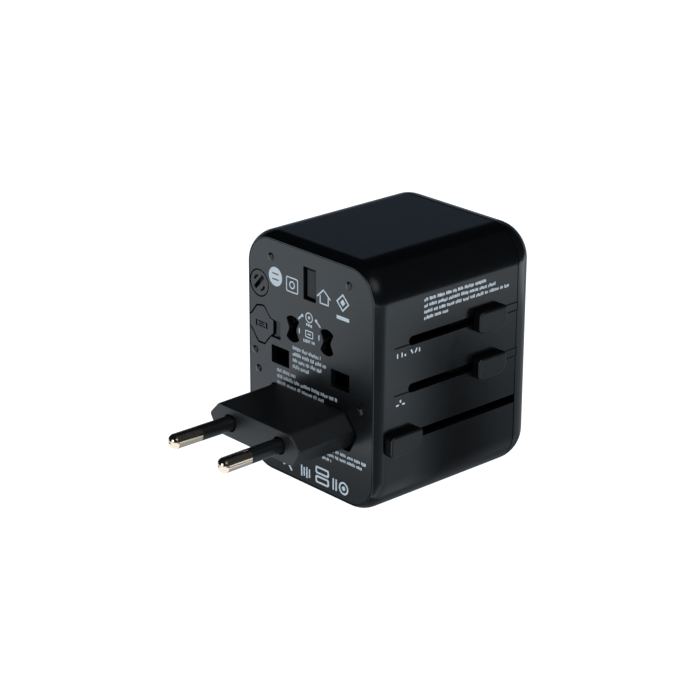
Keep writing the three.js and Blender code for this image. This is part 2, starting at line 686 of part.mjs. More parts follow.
const HUB = { radius: 4.2, front: 26.7, rear: 31, play: 0.35, seat: 3.4 };
const BLADE_FRAME = { half: 11.3, bottom: 37.4, top: 47.6 };
const BLADE_POINT = { chamfer: 0.4, length: 0.8 };

function addUsAusSlide() {
  const { front, rear } = CARRIAGE;
  const body = block(-BLADE_FRAME.half, BLADE_FRAME.half, front, rear,
    BLADE_FRAME.bottom, BLADE_FRAME.top);
  const arm = armAndNeck(SLOTS.usaus.z, 10, front, NECK.front);
  const bores = [-BLADE_X, BLADE_X].map((x) => rod(x, BLADE_Z, front - PAST, HUB.rear + GAP,
    HUB.radius + HUB.play, 20));
  add('usaus_carriage', cut(union([body, arm]), bores), innerPlastic());
  addKnob('usaus_knob', SLOTS.usaus.z, NECK.front);
  const tip = SLIDE_TRAVEL - BLADE.length;
  const root = HUB.front + HUB.seat;
  const { chamfer, length } = BLADE_POINT;
  for (const [name, x] of [['left', -BLADE_X], ['right', BLADE_X]]) {
    const pointOutline = centredRect(x, BLADE_Z, BLADE.thick - 2 * chamfer,
      BLADE.width - 2 * chamfer, 0.2);
    const point = slab(pointOutline, tip, tip + 2 * length);
    const blade = slab(centredRect(x, BLADE_Z, BLADE.thick, BLADE.width, 0.3), tip + length, root);
    add(`blade_${name}`, point.add(blade), nickel());
    const seat = slab(centredRect(x, BLADE_Z, BLADE.thick + 2 * GAP, BLADE.width + 2 * GAP, 0.4),
      front - PAST, root + GAP);
    const hub = rod(x, BLADE_Z, HUB.front, HUB.rear, HUB.radius, 18);
    add(`blade_hub_${name}`, hub.subtract(seat), innerPlastic());
  }
}

const EU_FLANGE = { half: 20, front: 2.4, rear: 10.3, bottom: 14.6, top: 26.4 };
const EU_ROOT = 6;             // how deep the round pins sit in the plug body
const EU_CORE_R = 1.4;
const EU_SLEEVE_R = { inner: 1.65, outer: 1.9, socket: 2.3, depth: 4 };

function euPinPoints(tipY, rootY) {
  const r = EU_PIN.radius;
  const round = [0, 1, 2, 3].map((i) => {
    const a = (i / 3) * Math.PI / 2;
    return [r * Math.sin(a), tipY + r * (1 - Math.cos(a))];
  });
  const sleeveFront = tipY + EU_PIN.length - EU_PIN.sleeve;
  return [...round, [r, sleeveFront], [EU_CORE_R, sleeveFront], [EU_CORE_R, rootY], [0, rootY]];
}

function addEuSlide() {
  const face = -EU_BODY.length;
  const tip = face - EU_PIN.length;
  const root = face + EU_ROOT;
  const section = hexagon(EU_BODY.half, EU_BODY.halfHeight, EU_BODY.flat);
  const grip = rolledSlab(section, face, EU_FLANGE.front + 1.6, 0.5);
  const flange = block(-EU_FLANGE.half, EU_FLANGE.half, EU_FLANGE.front, EU_FLANGE.rear,
    EU_FLANGE.bottom, EU_FLANGE.top);
  const arm = block(EU_FLANGE.half - 5, WIDTH / 2, EU_NECK_FRONT, EU_NECK_FRONT + NECK.length,
    SLOTS.eu.z - NECK.height / 2, SLOTS.eu.z + NECK.height / 2);
  const sockets = [-1, 1].map((side) => rod(side * EU_PIN.root, EU_Z, face - PAST, root + GAP,
    EU_SLEEVE_R.socket, 16));
  add('eu_plug_body', cut(union([grip, flange, arm]), sockets), facePlastic());
  addKnob('eu_knob', SLOTS.eu.z, EU_NECK_FRONT);
  const sleeveFront = GAP - EU_PIN.sleeve;
  const { inner, outer, depth } = EU_SLEEVE_R;
  const sleeveOutline = [
    [inner, sleeveFront],
    [outer, sleeveFront],
    [outer, depth],
    [inner, depth],
    [inner, sleeveFront],
  ];
  for (const [name, side] of [['left', -1], ['right', 1]]) {
    // Each pin leans in slightly towards the other, from its root to its tip.
    const lean = side * Math.atan((EU_PIN.root - EU_PIN.tip) / EU_PIN.length) * 180 / Math.PI;
    const place = (piece) => piece.rotate([0, 0, lean]).translate([side * EU_PIN.root, face, EU_Z]);
    const pin = turned(0, 0, euPinPoints(tip - face, root - face), 18);
    add(`eu_pin_${name}`, place(pin), nickel());
    add(`eu_sleeve_${name}`, place(turned(0, 0, sleeveOutline, 18)), innerPlastic());
  }
}

addMainShell();
addPinPlate();
addRearCap();
addPilotLens();
addDecks();
addContactCarrier();
addContacts();
addShutter();
addShutterSpring();
addUsbPorts();
addPowerSupply();
addFuses();
addUkSlide();
addUsAusSlide();
addEuSlide();

export default adapter;
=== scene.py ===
"""Universal travel adapter: the finished look of every piece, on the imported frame.

Pieces are shaped in millimetres, with y measured back from the pin face, and are
brought to metres in the object's own frame by settle() once their mesh is done.
"""
import math
import random

import bpy
from mathutils import Matrix, Vector


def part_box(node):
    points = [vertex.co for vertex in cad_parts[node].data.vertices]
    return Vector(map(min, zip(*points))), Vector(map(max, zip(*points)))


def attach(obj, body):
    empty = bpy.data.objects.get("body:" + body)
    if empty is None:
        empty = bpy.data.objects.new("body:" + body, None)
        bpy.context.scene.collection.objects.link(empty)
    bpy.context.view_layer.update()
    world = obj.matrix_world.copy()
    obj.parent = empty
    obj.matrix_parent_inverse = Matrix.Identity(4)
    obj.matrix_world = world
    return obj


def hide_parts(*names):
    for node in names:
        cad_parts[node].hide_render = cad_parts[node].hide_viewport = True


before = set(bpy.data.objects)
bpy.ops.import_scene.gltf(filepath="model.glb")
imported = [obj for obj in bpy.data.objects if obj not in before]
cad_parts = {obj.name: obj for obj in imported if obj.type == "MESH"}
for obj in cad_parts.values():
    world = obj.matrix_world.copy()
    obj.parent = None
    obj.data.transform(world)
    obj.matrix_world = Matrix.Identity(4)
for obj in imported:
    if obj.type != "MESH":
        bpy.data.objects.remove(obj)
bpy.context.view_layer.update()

MM = 0.001
random.seed(11)

# ---- sizes taken from the frame, in millimetres ---------------------------------

shell_low, shell_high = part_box("main_shell")
cap_low, cap_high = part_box("rear_cap")
FACE = shell_low.y
HALF_W = shell_high.x / MM
HEIGHT = shell_high.z / MM
DEPTH = (cap_high.y - FACE) / MM


def box_of(node):
    """A node's corners in millimetres, with y measured back from the pin face."""
    return [Vector((v.x, v.y - FACE, v.z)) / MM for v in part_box(node)]


# ---- the block's own dimensions ---------------------------------------------------
# PAST is how far a cutter reaches beyond the surface that it cuts.

CORNER_R = 9.6
LIP_R = 5.8
LIP_LENGTH = 3.7
REAR_R = 7.9
WALL = 1.65
RIM = 0.3
SHELL_END = 48.2
CAP_START = 48.42
SOCKET_WALL = 5.2
PLATE_INSET = 1.74
PLATE_T = 1.8

SLOT_H = 2.3
LONG_SLOT_FRONT = 10.5
EU_SLOT_FRONT = 2.5
PAD_ABOVE = 2.1
USAUS_SLOT_Z = box_of("usaus_knob")[1].z - PAD_ABOVE
UK_SLOT_Z = box_of("uk_knob")[1].z - PAD_ABOVE
EU_SLOT_Z = box_of("eu_knob")[1].z - PAD_ABOVE

UK_PIN_X = 11.2
UK_PIN_Z = 33.4
EARTH_Z = 55.55
BLADE_X = 6.38
BLADE_Z = 42.1
EU_Z = 20.95
EU_PIN_X = 9.3
EU_PIN_Z = EU_Z - 0.1
EU_PIN_R = 2.0
EU_SLEEVE_LENGTH = 10.0
SOCKET_X = 6.35
SOCKET_Z = 32
USB_X = 12.1
USB_Z = 9.2
FUSE = (-19.15, 51.0)
DOOR = (-18.4, 40.1)
LENS_Z = 43
PLUG_FACE = box_of("eu_plug_body")[0].y - 0.45

GROOVE_FRONT = 5.7
GROOVE_DROP = 0.75
FINGER_FRONT = 40.65
PAST = 1.0


# ---- working by hand: choosing, cutting, rounding ---------------------------------

def only(piece):
    """Nothing but this piece is selected and active."""
    if bpy.context.mode != "OBJECT":
        bpy.ops.object.mode_set(mode="OBJECT")
    bpy.ops.object.select_all(action="DESELECT")
    bpy.context.view_layer.objects.active = piece
    piece.select_set(True)
    return piece


def placed(name, turned=True):
    """Names the object just added and moves its place into its mesh."""
    piece = bpy.context.object
    piece.name = name
    piece.data.name = name
    only(piece)
    bpy.ops.object.transform_apply(location=True, rotation=turned, scale=True)
    return piece


def edit(piece, kind, wanted, *steps):
    """Selects the faces or edges that wanted(middle, direction) accepts and works on them."""
    only(piece)
    mesh = piece.data
    for parts in (mesh.vertices, mesh.edges, mesh.polygons):
        parts.foreach_set("select", [False] * len(parts))
    if kind == "FACE":
        for face in mesh.polygons:
            face.select = bool(wanted(face.center, face.normal))
    else:
        for edge in mesh.edges:
            start, end = (mesh.vertices[i].co for i in edge.vertices)
            edge.select = bool(wanted((start + end) / 2, (end - start).normalized()))
    bpy.context.tool_settings.mesh_select_mode = (False, kind == "EDGE", kind == "FACE")
    bpy.ops.object.mode_set(mode="EDIT")
    for step in steps:
        step()
    bpy.ops.object.mode_set(mode="OBJECT")
    return piece


def box(name, low, high):
    low, high = Vector(low), Vector(high)
    bpy.ops.mesh.primitive_cube_add(size=1, location=(low + high) / 2, scale=high - low)
    return placed(name)


def rod(name, x, z, front, rear, radius, sides=48):
    """A round bar that runs from front to rear."""
    bpy.ops.mesh.primitive_cylinder_add(
        vertices=sides, radius=radius, depth=rear - front,
        location=(x, (front + rear) / 2, z), rotation=(math.pi / 2, 0, 0),
    )
    return placed(name)


def round_off(piece, wanted, radius, segments):
    """Rounds the chosen edges."""
    return edit(piece, "EDGE", wanted, lambda: bpy.ops.mesh.bevel(
        offset_type="OFFSET", offset=radius, segments=segments, profile=0.5,
        affect="EDGES", clamp_overlap=False,
    ))


def slice_off(piece, y, keep_rear):
    """Cuts the piece across at y, keeps one side of it and closes the cut."""
    return edit(piece, "FACE", lambda middle, normal: True, lambda: bpy.ops.mesh.bisect(
        plane_co=(0, y, 0), plane_no=(0, 1, 0), use_fill=True,
        clear_inner=keep_rear, clear_outer=not keep_rear, threshold=1e-4,
    ))


def combine(piece, other, operation="DIFFERENCE"):
    """Cuts the other piece away from this one, or joins it on, and removes it."""
    modifier = piece.modifiers.new("combine", "BOOLEAN")
    modifier.operation = operation
    modifier.solver = "EXACT"
    modifier.object = other
    only(piece)
    bpy.ops.object.modifier_apply(modifier=modifier.name)
    bpy.data.objects.remove(other)
    return piece


def cut_away(piece, cutters):
    for cutter in cutters:
        combine(piece, cutter)
    return piece


def join_on(piece, others):
    for other in others:
        combine(piece, other, "UNION")
    return piece


def soften(piece, width, segments=2, angle=32):
    """Takes the sharpness off every edge and shades the rounded stretches smooth."""
    modifier = piece.modifiers.new("edges", "BEVEL")
    modifier.width = width
    modifier.segments = segments
    modifier.limit_method = "ANGLE"
    modifier.angle_limit = math.radians(angle)
    modifier.use_clamp_overlap = False
    modifier.miter_outer = "MITER_ARC"
    only(piece)
    bpy.ops.object.modifier_apply(modifier=modifier.name)
    return smooth(piece)


def smooth(piece, angle=40):
    only(piece)
    bpy.ops.object.shade_smooth_by_angle(angle=math.radians(angle))
    modifier = piece.modifiers.new("normals", "WEIGHTED_NORMAL")
    modifier.keep_sharp = True
    modifier.weight = 80
    bpy.ops.object.modifier_apply(modifier=modifier.name)
    return piece


# ---- outlines ----------------------------------------------------------------------

def fillet(corners, radius, steps=5):
    """An outline with each corner rounded. A corner may carry a radius of its own."""
    ring = []
    count = len(corners)
    for i, corner in enumerate(corners):
        here = Vector(corner[:2])
        r = corner[2] if len(corner) > 2 else radius
        to_last = (Vector(corners[i - 1][:2]) - here).normalized()
        to_next = (Vector(corners[(i + 1) % count][:2]) - here).normalized()
        half = to_last.angle(to_next) / 2
        middle = here + (to_last + to_next).normalized() * (r / math.sin(half))
        start = here + to_last * (r / math.tan(half)) - middle
        sweep = math.pi - 2 * half
        if to_last.x * to_next.y - to_last.y * to_next.x > 0:
            sweep = -sweep
        for step in range(steps + 1):
            turned = Matrix.Rotation(sweep * step / steps, 2) @ start
            ring.append(tuple(middle + turned))
    return ring


def rectangle(x, z, width, height, radius=0.3, steps=5):
    w, h = width / 2, height / 2
    corners = [(x - w, z - h), (x + w, z - h), (x + w, z + h), (x - w, z + h)]
    return fillet(corners, radius, steps)


def bar(x0, x1, z0, z1):
    return [(x0, z0), (x1, z0), (x1, z1), (x0, z1)]


def circle(x, z, radius, sides=40, start=0.0):
    turn = 2 * math.pi / sides
    return [
        (x + radius * math.cos(start + turn * i), z + radius * math.sin(start + turn * i))
        for i in range(sides)
    ]


def outline_solid(name, rings, near, far, facing="front"):
    """Flat outlines made solid between two depths: y on the pin face, x on the side."""
    flat = bpy.data.curves.new(name, "CURVE")
    flat.dimensions = "2D"
    flat.fill_mode = "BOTH"
    flat.extrude = (far - near) / 2
    for ring in rings:
        spline = flat.splines.new("POLY")
        spline.points.add(len(ring) - 1)
        for point, (a, b) in zip(spline.points, ring):
            point.co = (a, b, 0, 1)
        spline.use_cyclic_u = True
    piece = bpy.data.objects.new(name, flat)
    bpy.context.collection.objects.link(piece)
    only(piece)
    bpy.ops.object.convert(target="MESH")
    piece = bpy.context.object
    middle = (near + far) / 2
    if facing == "front":
        piece.rotation_euler = (math.pi / 2, 0, 0)
        piece.location = (0, middle, 0)
    else:
        piece.rotation_euler = (math.pi / 2, 0, math.pi / 2)
        piece.location = (middle, 0, 0)
    placed(name)
    edit(
        piece, "FACE", lambda middle, normal: True,
        lambda: bpy.ops.mesh.remove_doubles(threshold=1e-4),
        lambda: bpy.ops.mesh.dissolve_limited(angle_limit=math.radians(1)),
        lambda: bpy.ops.mesh.normals_make_consistent(inside=False),
    )
    return piece


def bow_tie(x, z, radius=3.5, waist=1.2):
    """Two round-ended lobes above and below a narrow waist."""
    corners = [(waist, 0, 1.6)]
    for angle, corner_r in ((45, 0.5), (68, 0.4), (90, 0.4), (112, 0.4), (135, 0.5)):
        turn = math.radians(angle)
        corners.append((radius * math.cos(turn), radius * math.sin(turn), corner_r))
    corners += [(-a, -b, r) for a, b, r in corners]
    return fillet([(x + a, z + b, r) for a, b, r in corners], 0.4)


def plug_outline(x_scale=1.0, z_scale=1.0, middle=EU_Z):
    """Six-sided section of the European plug, a little wider below than above."""
    corners = [
        (-13.6, 4.2, 2.2), (-14.4, -4.2, 1.4), (14.4, -4.2, 1.4), (13.1, 4.2, 2.6),
        (17.0, 0.3, 1.0), (-17.3, 0.4, 1.0),
    ]
    order = [corners[i] for i in (1, 2, 4, 3, 0, 5)]
    placed_corners = [(a * x_scale, middle + b * z_scale, r) for a, b, r in order]
    return fillet(placed_corners, 1.2)


DOOR_EDGE = [
    (-1.75, 4.5), (-3.65, 2.05), (-4.5, 1.45), (-4.45, -1.4), (-3.6, -1.9), (-2.0, -3.95),
    (-1.1, -4.8), (1.15, -4.8), (2.25, -3.4), (3.85, -1.75), (4.45, -1.35), (4.55, 0.45),
    (4.5, 2.2), (3.3, 2.4), (2.15, 3.65), (1.2, 4.75), (0.4, 4.95),
]


def door_outline(grow=0.0):
    """Lobed outline of the pry-off fuse door."""
    size = 1 + grow / 4.4
    return fillet([(DOOR[0] + a * size, DOOR[1] + b * size) for a, b in DOOR_EDGE], 0.2, 3)


# ---- materials ------------------------------------------------------------------------

class Level:
    """A number that varies over a surface. Sums with it add Math nodes."""

    def __init__(self, paint, socket):
        self.paint = paint
        self.socket = socket

    def sum(self, operation, first, second):
        return self.paint.node("ShaderNodeMath", {"operation": operation}, {0: first, 1: second})

    def __add__(self, other):
        return self.sum("ADD", self, other)

    def __radd__(self, other):
        return self.sum("ADD", other, self)

    def __sub__(self, other):
        return self.sum("SUBTRACT", self, other)

    def __rsub__(self, other):
        return self.sum("SUBTRACT", other, self)

    def __mul__(self, other):
        return self.sum("MULTIPLY", self, other)

    def __rmul__(self, other):
        return self.sum("MULTIPLY", other, self)

    def __truediv__(self, other):
        return self.sum("DIVIDE", self, other)


class Paint:
    """One material's nodes."""

    def __init__(self, name):
        self.material = bpy.data.materials.new(name)
        self.material.use_nodes = True
        self.tree = self.material.node_tree
        self.tree.nodes.clear()
        self.place = self.node("ShaderNodeTexCoord", {}, {}, "Object")

    def node(self, kind, settings, inputs, output=0):
        """Adds a node: its settings first, then its sockets' values or links."""
        made = self.tree.nodes.new(kind)
        for key, value in settings.items():
            if key == "stops":
                self.set_stops(made.color_ramp, value)
            else:
                setattr(made, key, value)
        for key, value in inputs.items():
            if isinstance(value, Level):
                self.tree.links.new(value.socket, made.inputs[key])
            else:
                made.inputs[key].default_value = value
        return Level(self, made.outputs[output])

    def set_stops(self, ramp, stops):
        for i, (position, shade) in enumerate(stops):
            stop = ramp.elements[i] if i < 2 else ramp.elements.new(position)
            stop.position = position
            stop.color = (shade, shade, shade, 1)

    def across(self, axis):
        """The place along one axis, in metres."""
        return self.node("ShaderNodeSeparateXYZ", {}, {"Vector": self.place}, axis)

    def ramp(self, level, stops):
        return self.node("ShaderNodeValToRGB", {"stops": stops}, {"Fac": level})

    def stretched(self, scale):
        return self.node("ShaderNodeMapping", {}, {"Vector": self.place, "Scale": scale})

    def noise(self, scale, detail=2.0, rough=0.5, vector=None):
        inputs = {
            "Vector": vector or self.place, "Scale": scale, "Detail": detail, "Roughness": rough,
        }
        return self.node("ShaderNodeTexNoise", {}, inputs, "Fac")

    def step(self, level, low, high):
        """0 below low, 1 above high."""
        return self.ramp(level, [(low, 0.0), (high, 1.0)])

    def blend(self, level, first, second):
        settings = {"data_type": "RGBA"}
        return self.node("ShaderNodeMix", settings, {0: level, 6: first, 7: second}, 2)

    def bump(self, height, depth, base=None):
        inputs = {"Height": height, "Distance": depth, "Strength": 1.0}
        if base:
            inputs["Normal"] = base
        return self.node("ShaderNodeBump", {}, inputs, "Normal")

    def surface(self, **sockets):
        shader = self.node("ShaderNodeBsdfPrincipled", {}, sockets_named(sockets))
        end = self.tree.nodes.new("ShaderNodeOutputMaterial")
        self.tree.links.new(shader.socket, end.inputs["Surface"])
        return self.material


def sockets_named(sockets):
    return {key.replace("_", " "): value for key, value in sockets.items()}


def shade(red, green, blue):
    return (red, green, blue, 1)


def moulded_plastic(name, dark, light, roughness, grain, depth, scuffs=0.12, gloss=1.5):
    """Satin moulded plastic: spark-eroded grain, faint flow marks, handling scuffs."""
    paint = Paint(name)
    cloud = paint.noise(140, 3)
    smudge = paint.noise(420, 4, 0.6)
    grains = paint.noise(grain, 2, 0.6)
    hair = paint.noise(900, 2, 0.5, paint.stretched((0.25, 1, 3)))
    scratch = paint.step(hair, 0.66, 0.72)
    tint = paint.blend(cloud * 0.7 + scratch * 0.3, dark, light)
    rough = cloud * 0.07 + smudge * 0.05 + scratch * scuffs + (roughness - 0.06)
    normal = paint.bump(grains + scratch * -0.3, depth)
    return paint.surface(
        Base_Color=tint, Roughness=rough, Normal=normal, IOR=gloss,
        Specular_Tint=shade(0.90, 0.97, 1.0),
    )


def plated_metal(name, dark, light, roughness, lines, depth):
    """Plated metal: fine drawn lines, dull patches where the plating is handled."""
    paint = Paint(name)
    cloud = paint.noise(260, 4, 0.6)
    drawn = paint.noise(lines, 2, 0.5, paint.stretched((1, 0.05, 1)))
    rub = paint.step(paint.noise(1500, 3, 0.5, paint.stretched((1, 0.2, 1))), 0.62, 0.7)
    tint = paint.blend(cloud * 0.8 + rub * 0.2, dark, light)
    rough = cloud * 0.1 + rub * 0.1 + drawn * 0.06 + (roughness - 0.08)
    normal = paint.bump(drawn, depth)
    return paint.surface(Base_Color=tint, Roughness=rough, Metallic=1.0, Normal=normal)


def printed_ink():
    """Pad-printed ink: thin, slightly uneven, with pinholes at its edges."""
    paint = Paint("pale_print_ink")
    cover = paint.noise(2600, 3, 0.6)
    wear = paint.noise(380, 3)
    tint = paint.blend(cover * 0.6 + wear * 0.4, shade(0.42, 0.50, 0.56), shade(0.62, 0.72, 0.78))
    rough = cover * 0.2 + 0.45
    return paint.surface(Base_Color=tint, Roughness=rough, Normal=paint.bump(cover, 0.000004))


def circuit_board():
    paint = Paint("green_board")
    runs = paint.step(paint.noise(700, 1, 0.3, paint.stretched((1, 0.25, 1))), 0.5, 0.53)
    cloud = paint.noise(300, 3)
    tint = paint.blend(runs * 0.6 + cloud * 0.2, shade(0.01, 0.06, 0.025), shade(0.03, 0.16, 0.06))
    return paint.surface(
        Base_Color=tint, Roughness=cloud * 0.1 + 0.3, Normal=paint.bump(runs, 0.00003),
    )


def winding_tape():
    paint = Paint("yellow_winding_tape")
    wraps = paint.noise(500, 2, 0.5, paint.stretched((0.1, 2, 0.1)))
    cloud = paint.noise(300, 3)
    tint = paint.blend(wraps * 0.6 + cloud * 0.4, shade(0.42, 0.28, 0.03), shade(0.65, 0.47, 0.08))
    return paint.surface(
        Base_Color=tint, Roughness=cloud * 0.2 + 0.3, Normal=paint.bump(wraps, 0.00005),
    )


def fired_ceramic():
    paint = Paint("fuse_ceramic")
    speck = paint.step(paint.noise(3000, 2), 0.62, 0.7)
    cloud = paint.noise(200, 3)
    tint = paint.blend(speck * 0.5 + cloud * 0.3, shade(0.78, 0.75, 0.66), shade(0.55, 0.5, 0.42))
    return paint.surface(
        Base_Color=tint, Roughness=cloud * 0.2 + 0.3, Normal=paint.bump(cloud, 0.00002),
    )


def lamp_lens():
    paint = Paint("red_lens")
    cloud = paint.noise(900, 3)
    tint = paint.blend(cloud, shade(0.30, 0.01, 0.008), shade(0.5, 0.03, 0.02))
    return paint.surface(
        Base_Color=tint, Roughness=cloud * 0.08 + 0.1, Normal=paint.bump(cloud, 0.00001),
        Coat_Weight=0.6,
    )


shell_plastic = moulded_plastic(
    "shell_satin_plastic", shade(0.0011, 0.0015, 0.0019), shade(0.0018, 0.0023, 0.0028),
    0.19, 3200, 0.0000015, 0.04,
)
face_plastic = moulded_plastic(
    "face_satin_plastic", shade(0.0020, 0.0028, 0.0036), shade(0.0032, 0.0042, 0.0052),
    0.29, 3600, 0.000004, 0.05,
)
plug_plastic = moulded_plastic(
    "plug_satin_plastic", shade(0.0010, 0.0014, 0.0018), shade(0.0018, 0.0023, 0.0028),
    0.48, 3000, 0.000012, 0.05,
)
knob_plastic = moulded_plastic(
    "knob_satin_plastic", shade(0.0012, 0.0016, 0.0020), shade(0.0022, 0.0027, 0.0032),
    0.36, 3000, 0.000004, 0.06,
)
# A darker, duller copy of the knob plastic: painted shade for the thumb pads' flanks.
flank_painted_shade_plastic = moulded_plastic(
    "knob_flank_painted_shade", shade(0.0008, 0.0010, 0.0012), shade(0.0014, 0.0017, 0.0020),
    0.5, 3000, 0.000004, 0.05, 1.2,
)
inner_plastic = moulded_plastic(
    "inner_matt_plastic", shade(0.0020, 0.0023, 0.0026), shade(0.0040, 0.0044, 0.0048),
    0.6, 2400, 0.000008, 0.05, 1.16,
)
sleeve_plastic = moulded_plastic(
    "pin_sleeve_plastic", shade(0.0022, 0.0026, 0.0030), shade(0.0040, 0.0046, 0.0052),
    0.36, 3400, 0.000006,
)
earth_plastic = moulded_plastic(
    "grey_earth_plastic", shade(0.018, 0.020, 0.022), shade(0.028, 0.031, 0.034),
    0.5, 2600, 0.000006, 0.1, 1.3,
)
pale_plastic = moulded_plastic(
    "pale_inner_plastic", shade(0.42, 0.40, 0.34), shade(0.52, 0.50, 0.44),
    0.5, 2400, 0.000006,
)
pin_nickel = plated_metal(
    "nickel_plating", shade(0.72, 0.60, 0.47), shade(0.86, 0.74, 0.61), 0.12, 5200, 0.0000002,
)
contact_brass = plated_metal(
    "contact_brass", shade(0.50, 0.34, 0.11), shade(0.72, 0.52, 0.20), 0.3, 3600, 0.000003,
)
bright_steel = plated_metal(
    "bright_steel", shade(0.42, 0.43, 0.45), shade(0.62, 0.63, 0.65), 0.28, 4200, 0.000002,
)
can_aluminium = plated_metal(
    "can_aluminium", shade(0.30, 0.31, 0.33), shade(0.50, 0.51, 0.53), 0.36, 2600, 0.000004,
)
print_ink = printed_ink()
board = circuit_board()
tape = winding_tape()
fuse_ceramic = fired_ceramic()
lens = lamp_lens()


# ---- fitting a finished piece to the frame ---------------------------------------------

def settle(piece, body, finish, nodes=()):
    """Brings a finished mesh to metres in the object's frame and hands it to its body."""
    only(piece)
    piece.scale = (MM, MM, MM)
    piece.location = (0, FACE, 0)
    bpy.ops.object.transform_apply(location=True, rotation=True, scale=True)
    piece.data.materials.clear()
    piece.data.materials.append(finish)
    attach(piece, body)
    if nodes:
        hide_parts(*nodes)
    return piece


# ---- housing ------------------------------------------------------------------------

def outer_block(name):
    """The whole outer form: round long edges, a front roll and a fuller rear roll."""
    front = LIP_LENGTH - LIP_R
    block = box(name, (-HALF_W, front, 0), (HALF_W, DEPTH - 0.002, HEIGHT))
    round_off(block, lambda middle, along: abs(along.y) > 0.9, CORNER_R, 20)
    round_off(block, lambda middle, along: middle.y < front + 0.01, LIP_R, 12)
    round_off(block, lambda middle, along: middle.y > DEPTH - 0.01, REAR_R, 14)
    return block


def side_slot(z, front, rear, height=SLOT_H):
    low = (HALF_W - 4, front, z - height / 2)
    cutter = box("slot", low, (HALF_W + PAST, rear, z + height / 2))

    def is_front_edge(middle, along):
        return middle.y < front + 0.01 and abs(along.x) > 0.9

    return round_off(cutter, is_front_edge, height / 2 - 0.01, 8)


def index_groove(slot_z):
    """The fine line that runs forward from the lower lip of a slot."""
    z = slot_z - GROOVE_DROP
    rear = LONG_SLOT_FRONT + 0.4
    return box("groove", (HALF_W - 0.22, GROOVE_FRONT, z - 0.1), (HALF_W + PAST, rear, z + 0.1))


def make_main_shell():
    shell = outer_block("shell_moulding")
    slice_off(shell, 0, keep_rear=True)
    slice_off(shell, SHELL_END, keep_rear=False)

    def open_end(y, facing, wall):
        def is_end(middle, normal):
            return abs(middle.y - y) < 0.01 and normal.y * facing > 0.99
        edit(
            shell, "FACE", is_end,
            lambda: bpy.ops.mesh.inset(thickness=wall, depth=0),
            lambda: bpy.ops.mesh.delete(type="ONLY_FACE"),
        )

    open_end(0, -1, RIM)
    open_end(SHELL_END, 1, WALL)
    edit(
        shell, "EDGE", lambda middle, along: False,
        lambda: bpy.ops.mesh.select_non_manifold(),
        lambda: bpy.ops.mesh.bridge_edge_loops(),
    )
    cut_away(shell, [
        side_slot(USAUS_SLOT_Z, LONG_SLOT_FRONT, DEPTH),
        side_slot(UK_SLOT_Z, LONG_SLOT_FRONT, DEPTH),
        side_slot(EU_SLOT_Z, EU_SLOT_FRONT, DEPTH),
        index_groove(USAUS_SLOT_Z),
        index_groove(UK_SLOT_Z),
    ])
    soften(shell, 0.11)
    settle(shell, "housing", shell_plastic, ["main_shell"])


def make_rear_cap():
    cap = outer_block("rear_cap_moulding")
    slice_off(cap, CAP_START, keep_rear=True)
    hollow = DEPTH - SOCKET_WALL - CAP_START

    def is_front(middle, normal):
        return abs(middle.y - CAP_START) < 0.01 and normal.y < -0.99

    edit(
        cap, "FACE", is_front,
        lambda: bpy.ops.mesh.inset(thickness=WALL + 1.2, depth=0),
        lambda: bpy.ops.mesh.extrude_region_move(
            TRANSFORM_OT_translate={"value": (0, hollow, 0)}),
    )
    half = SLOT_H / 2 - 0.13
    fingers = [
        box("finger", (HALF_W - WALL, FINGER_FRONT, z - half), (HALF_W, CAP_START + 0.1, z + half))
        for z in (USAUS_SLOT_Z, UK_SLOT_Z)
    ]
    join_on(cap, fingers)
    near, far = DEPTH - 7, DEPTH + PAST
    windows = []
    for hand in (-1, 1):
        slot = rectangle(hand * 10.8, SOCKET_Z, 7.6, 4.9, 0.5)
        windows.append(outline_solid("aperture", [slot], near, far))
        windows.append(outline_solid("aperture", [bow_tie(hand * SOCKET_X, SOCKET_Z)], near, far))
        port = rectangle(hand * USB_X, USB_Z, 13.7, 6.3, 0.7)
        windows.append(outline_solid("port", [port], near, far))
    earth = rectangle(0, SOCKET_Z + 22.2, 4.8, 8.8, 0.5)
    windows.append(outline_solid("earth", [earth], near, far))
    port = rectangle(0, USB_Z, 9.5, 3.8, 1.85)
    windows.append(outline_solid("port", [port], near, far))
    windows.append(rod("lens_hole", 0, LENS_Z, near, far, 1.62))
    cut_away(cap, windows)
    soften(cap, 0.14)
    settle(cap, "housing", shell_plastic, ["rear_cap"])


NUBS = [(-14.6, 59.1), (14.3, 59.1), (-21.0, 32.5), (-19.7, 27.65), (18.6, 27.6)]


def make_pin_plate():
    corner = CORNER_R - PLATE_INSET
    outline = rectangle(
        0, HEIGHT / 2, 2 * (HALF_W - PLATE_INSET), HEIGHT - 2 * PLATE_INSET, corner, 16)
    plate = outline_solid("pin_plate_moulding", [outline], 0, PLATE_T)
    openings = [
        rectangle(-UK_PIN_X, UK_PIN_Z, 6.7, 4.74, 0.25),
        rectangle(UK_PIN_X, UK_PIN_Z, 6.7, 4.74, 0.25),
        rectangle(0, EARTH_Z, 4.6, 8.55, 0.25),
        bow_tie(-BLADE_X, BLADE_Z),
        bow_tie(BLADE_X, BLADE_Z),
        plug_outline(1.035, 1.22, EU_Z - 0.4),
        door_outline(0.42),
    ]
    cutters = [outline_solid("opening", [ring], -PAST, PLATE_T + PAST) for ring in openings]
    cutters.append(rod("cap_hole", *FUSE, -PAST, PLATE_T + PAST, 3.66, 64))
    cutters.append(pry_notch())
    cut_away(plate, cutters)
    soften(plate, 0.07)
    for x, z in NUBS:
        bpy.ops.mesh.primitive_uv_sphere_add(
            segments=24, ring_count=16, radius=1, location=(x, 0.12, z), scale=(1.08, 0.62, 1.08))
        combine(plate, placed("nub"), "UNION")
    smooth(plate)
    settle(plate, "housing", face_plastic, ["pin_plate"])


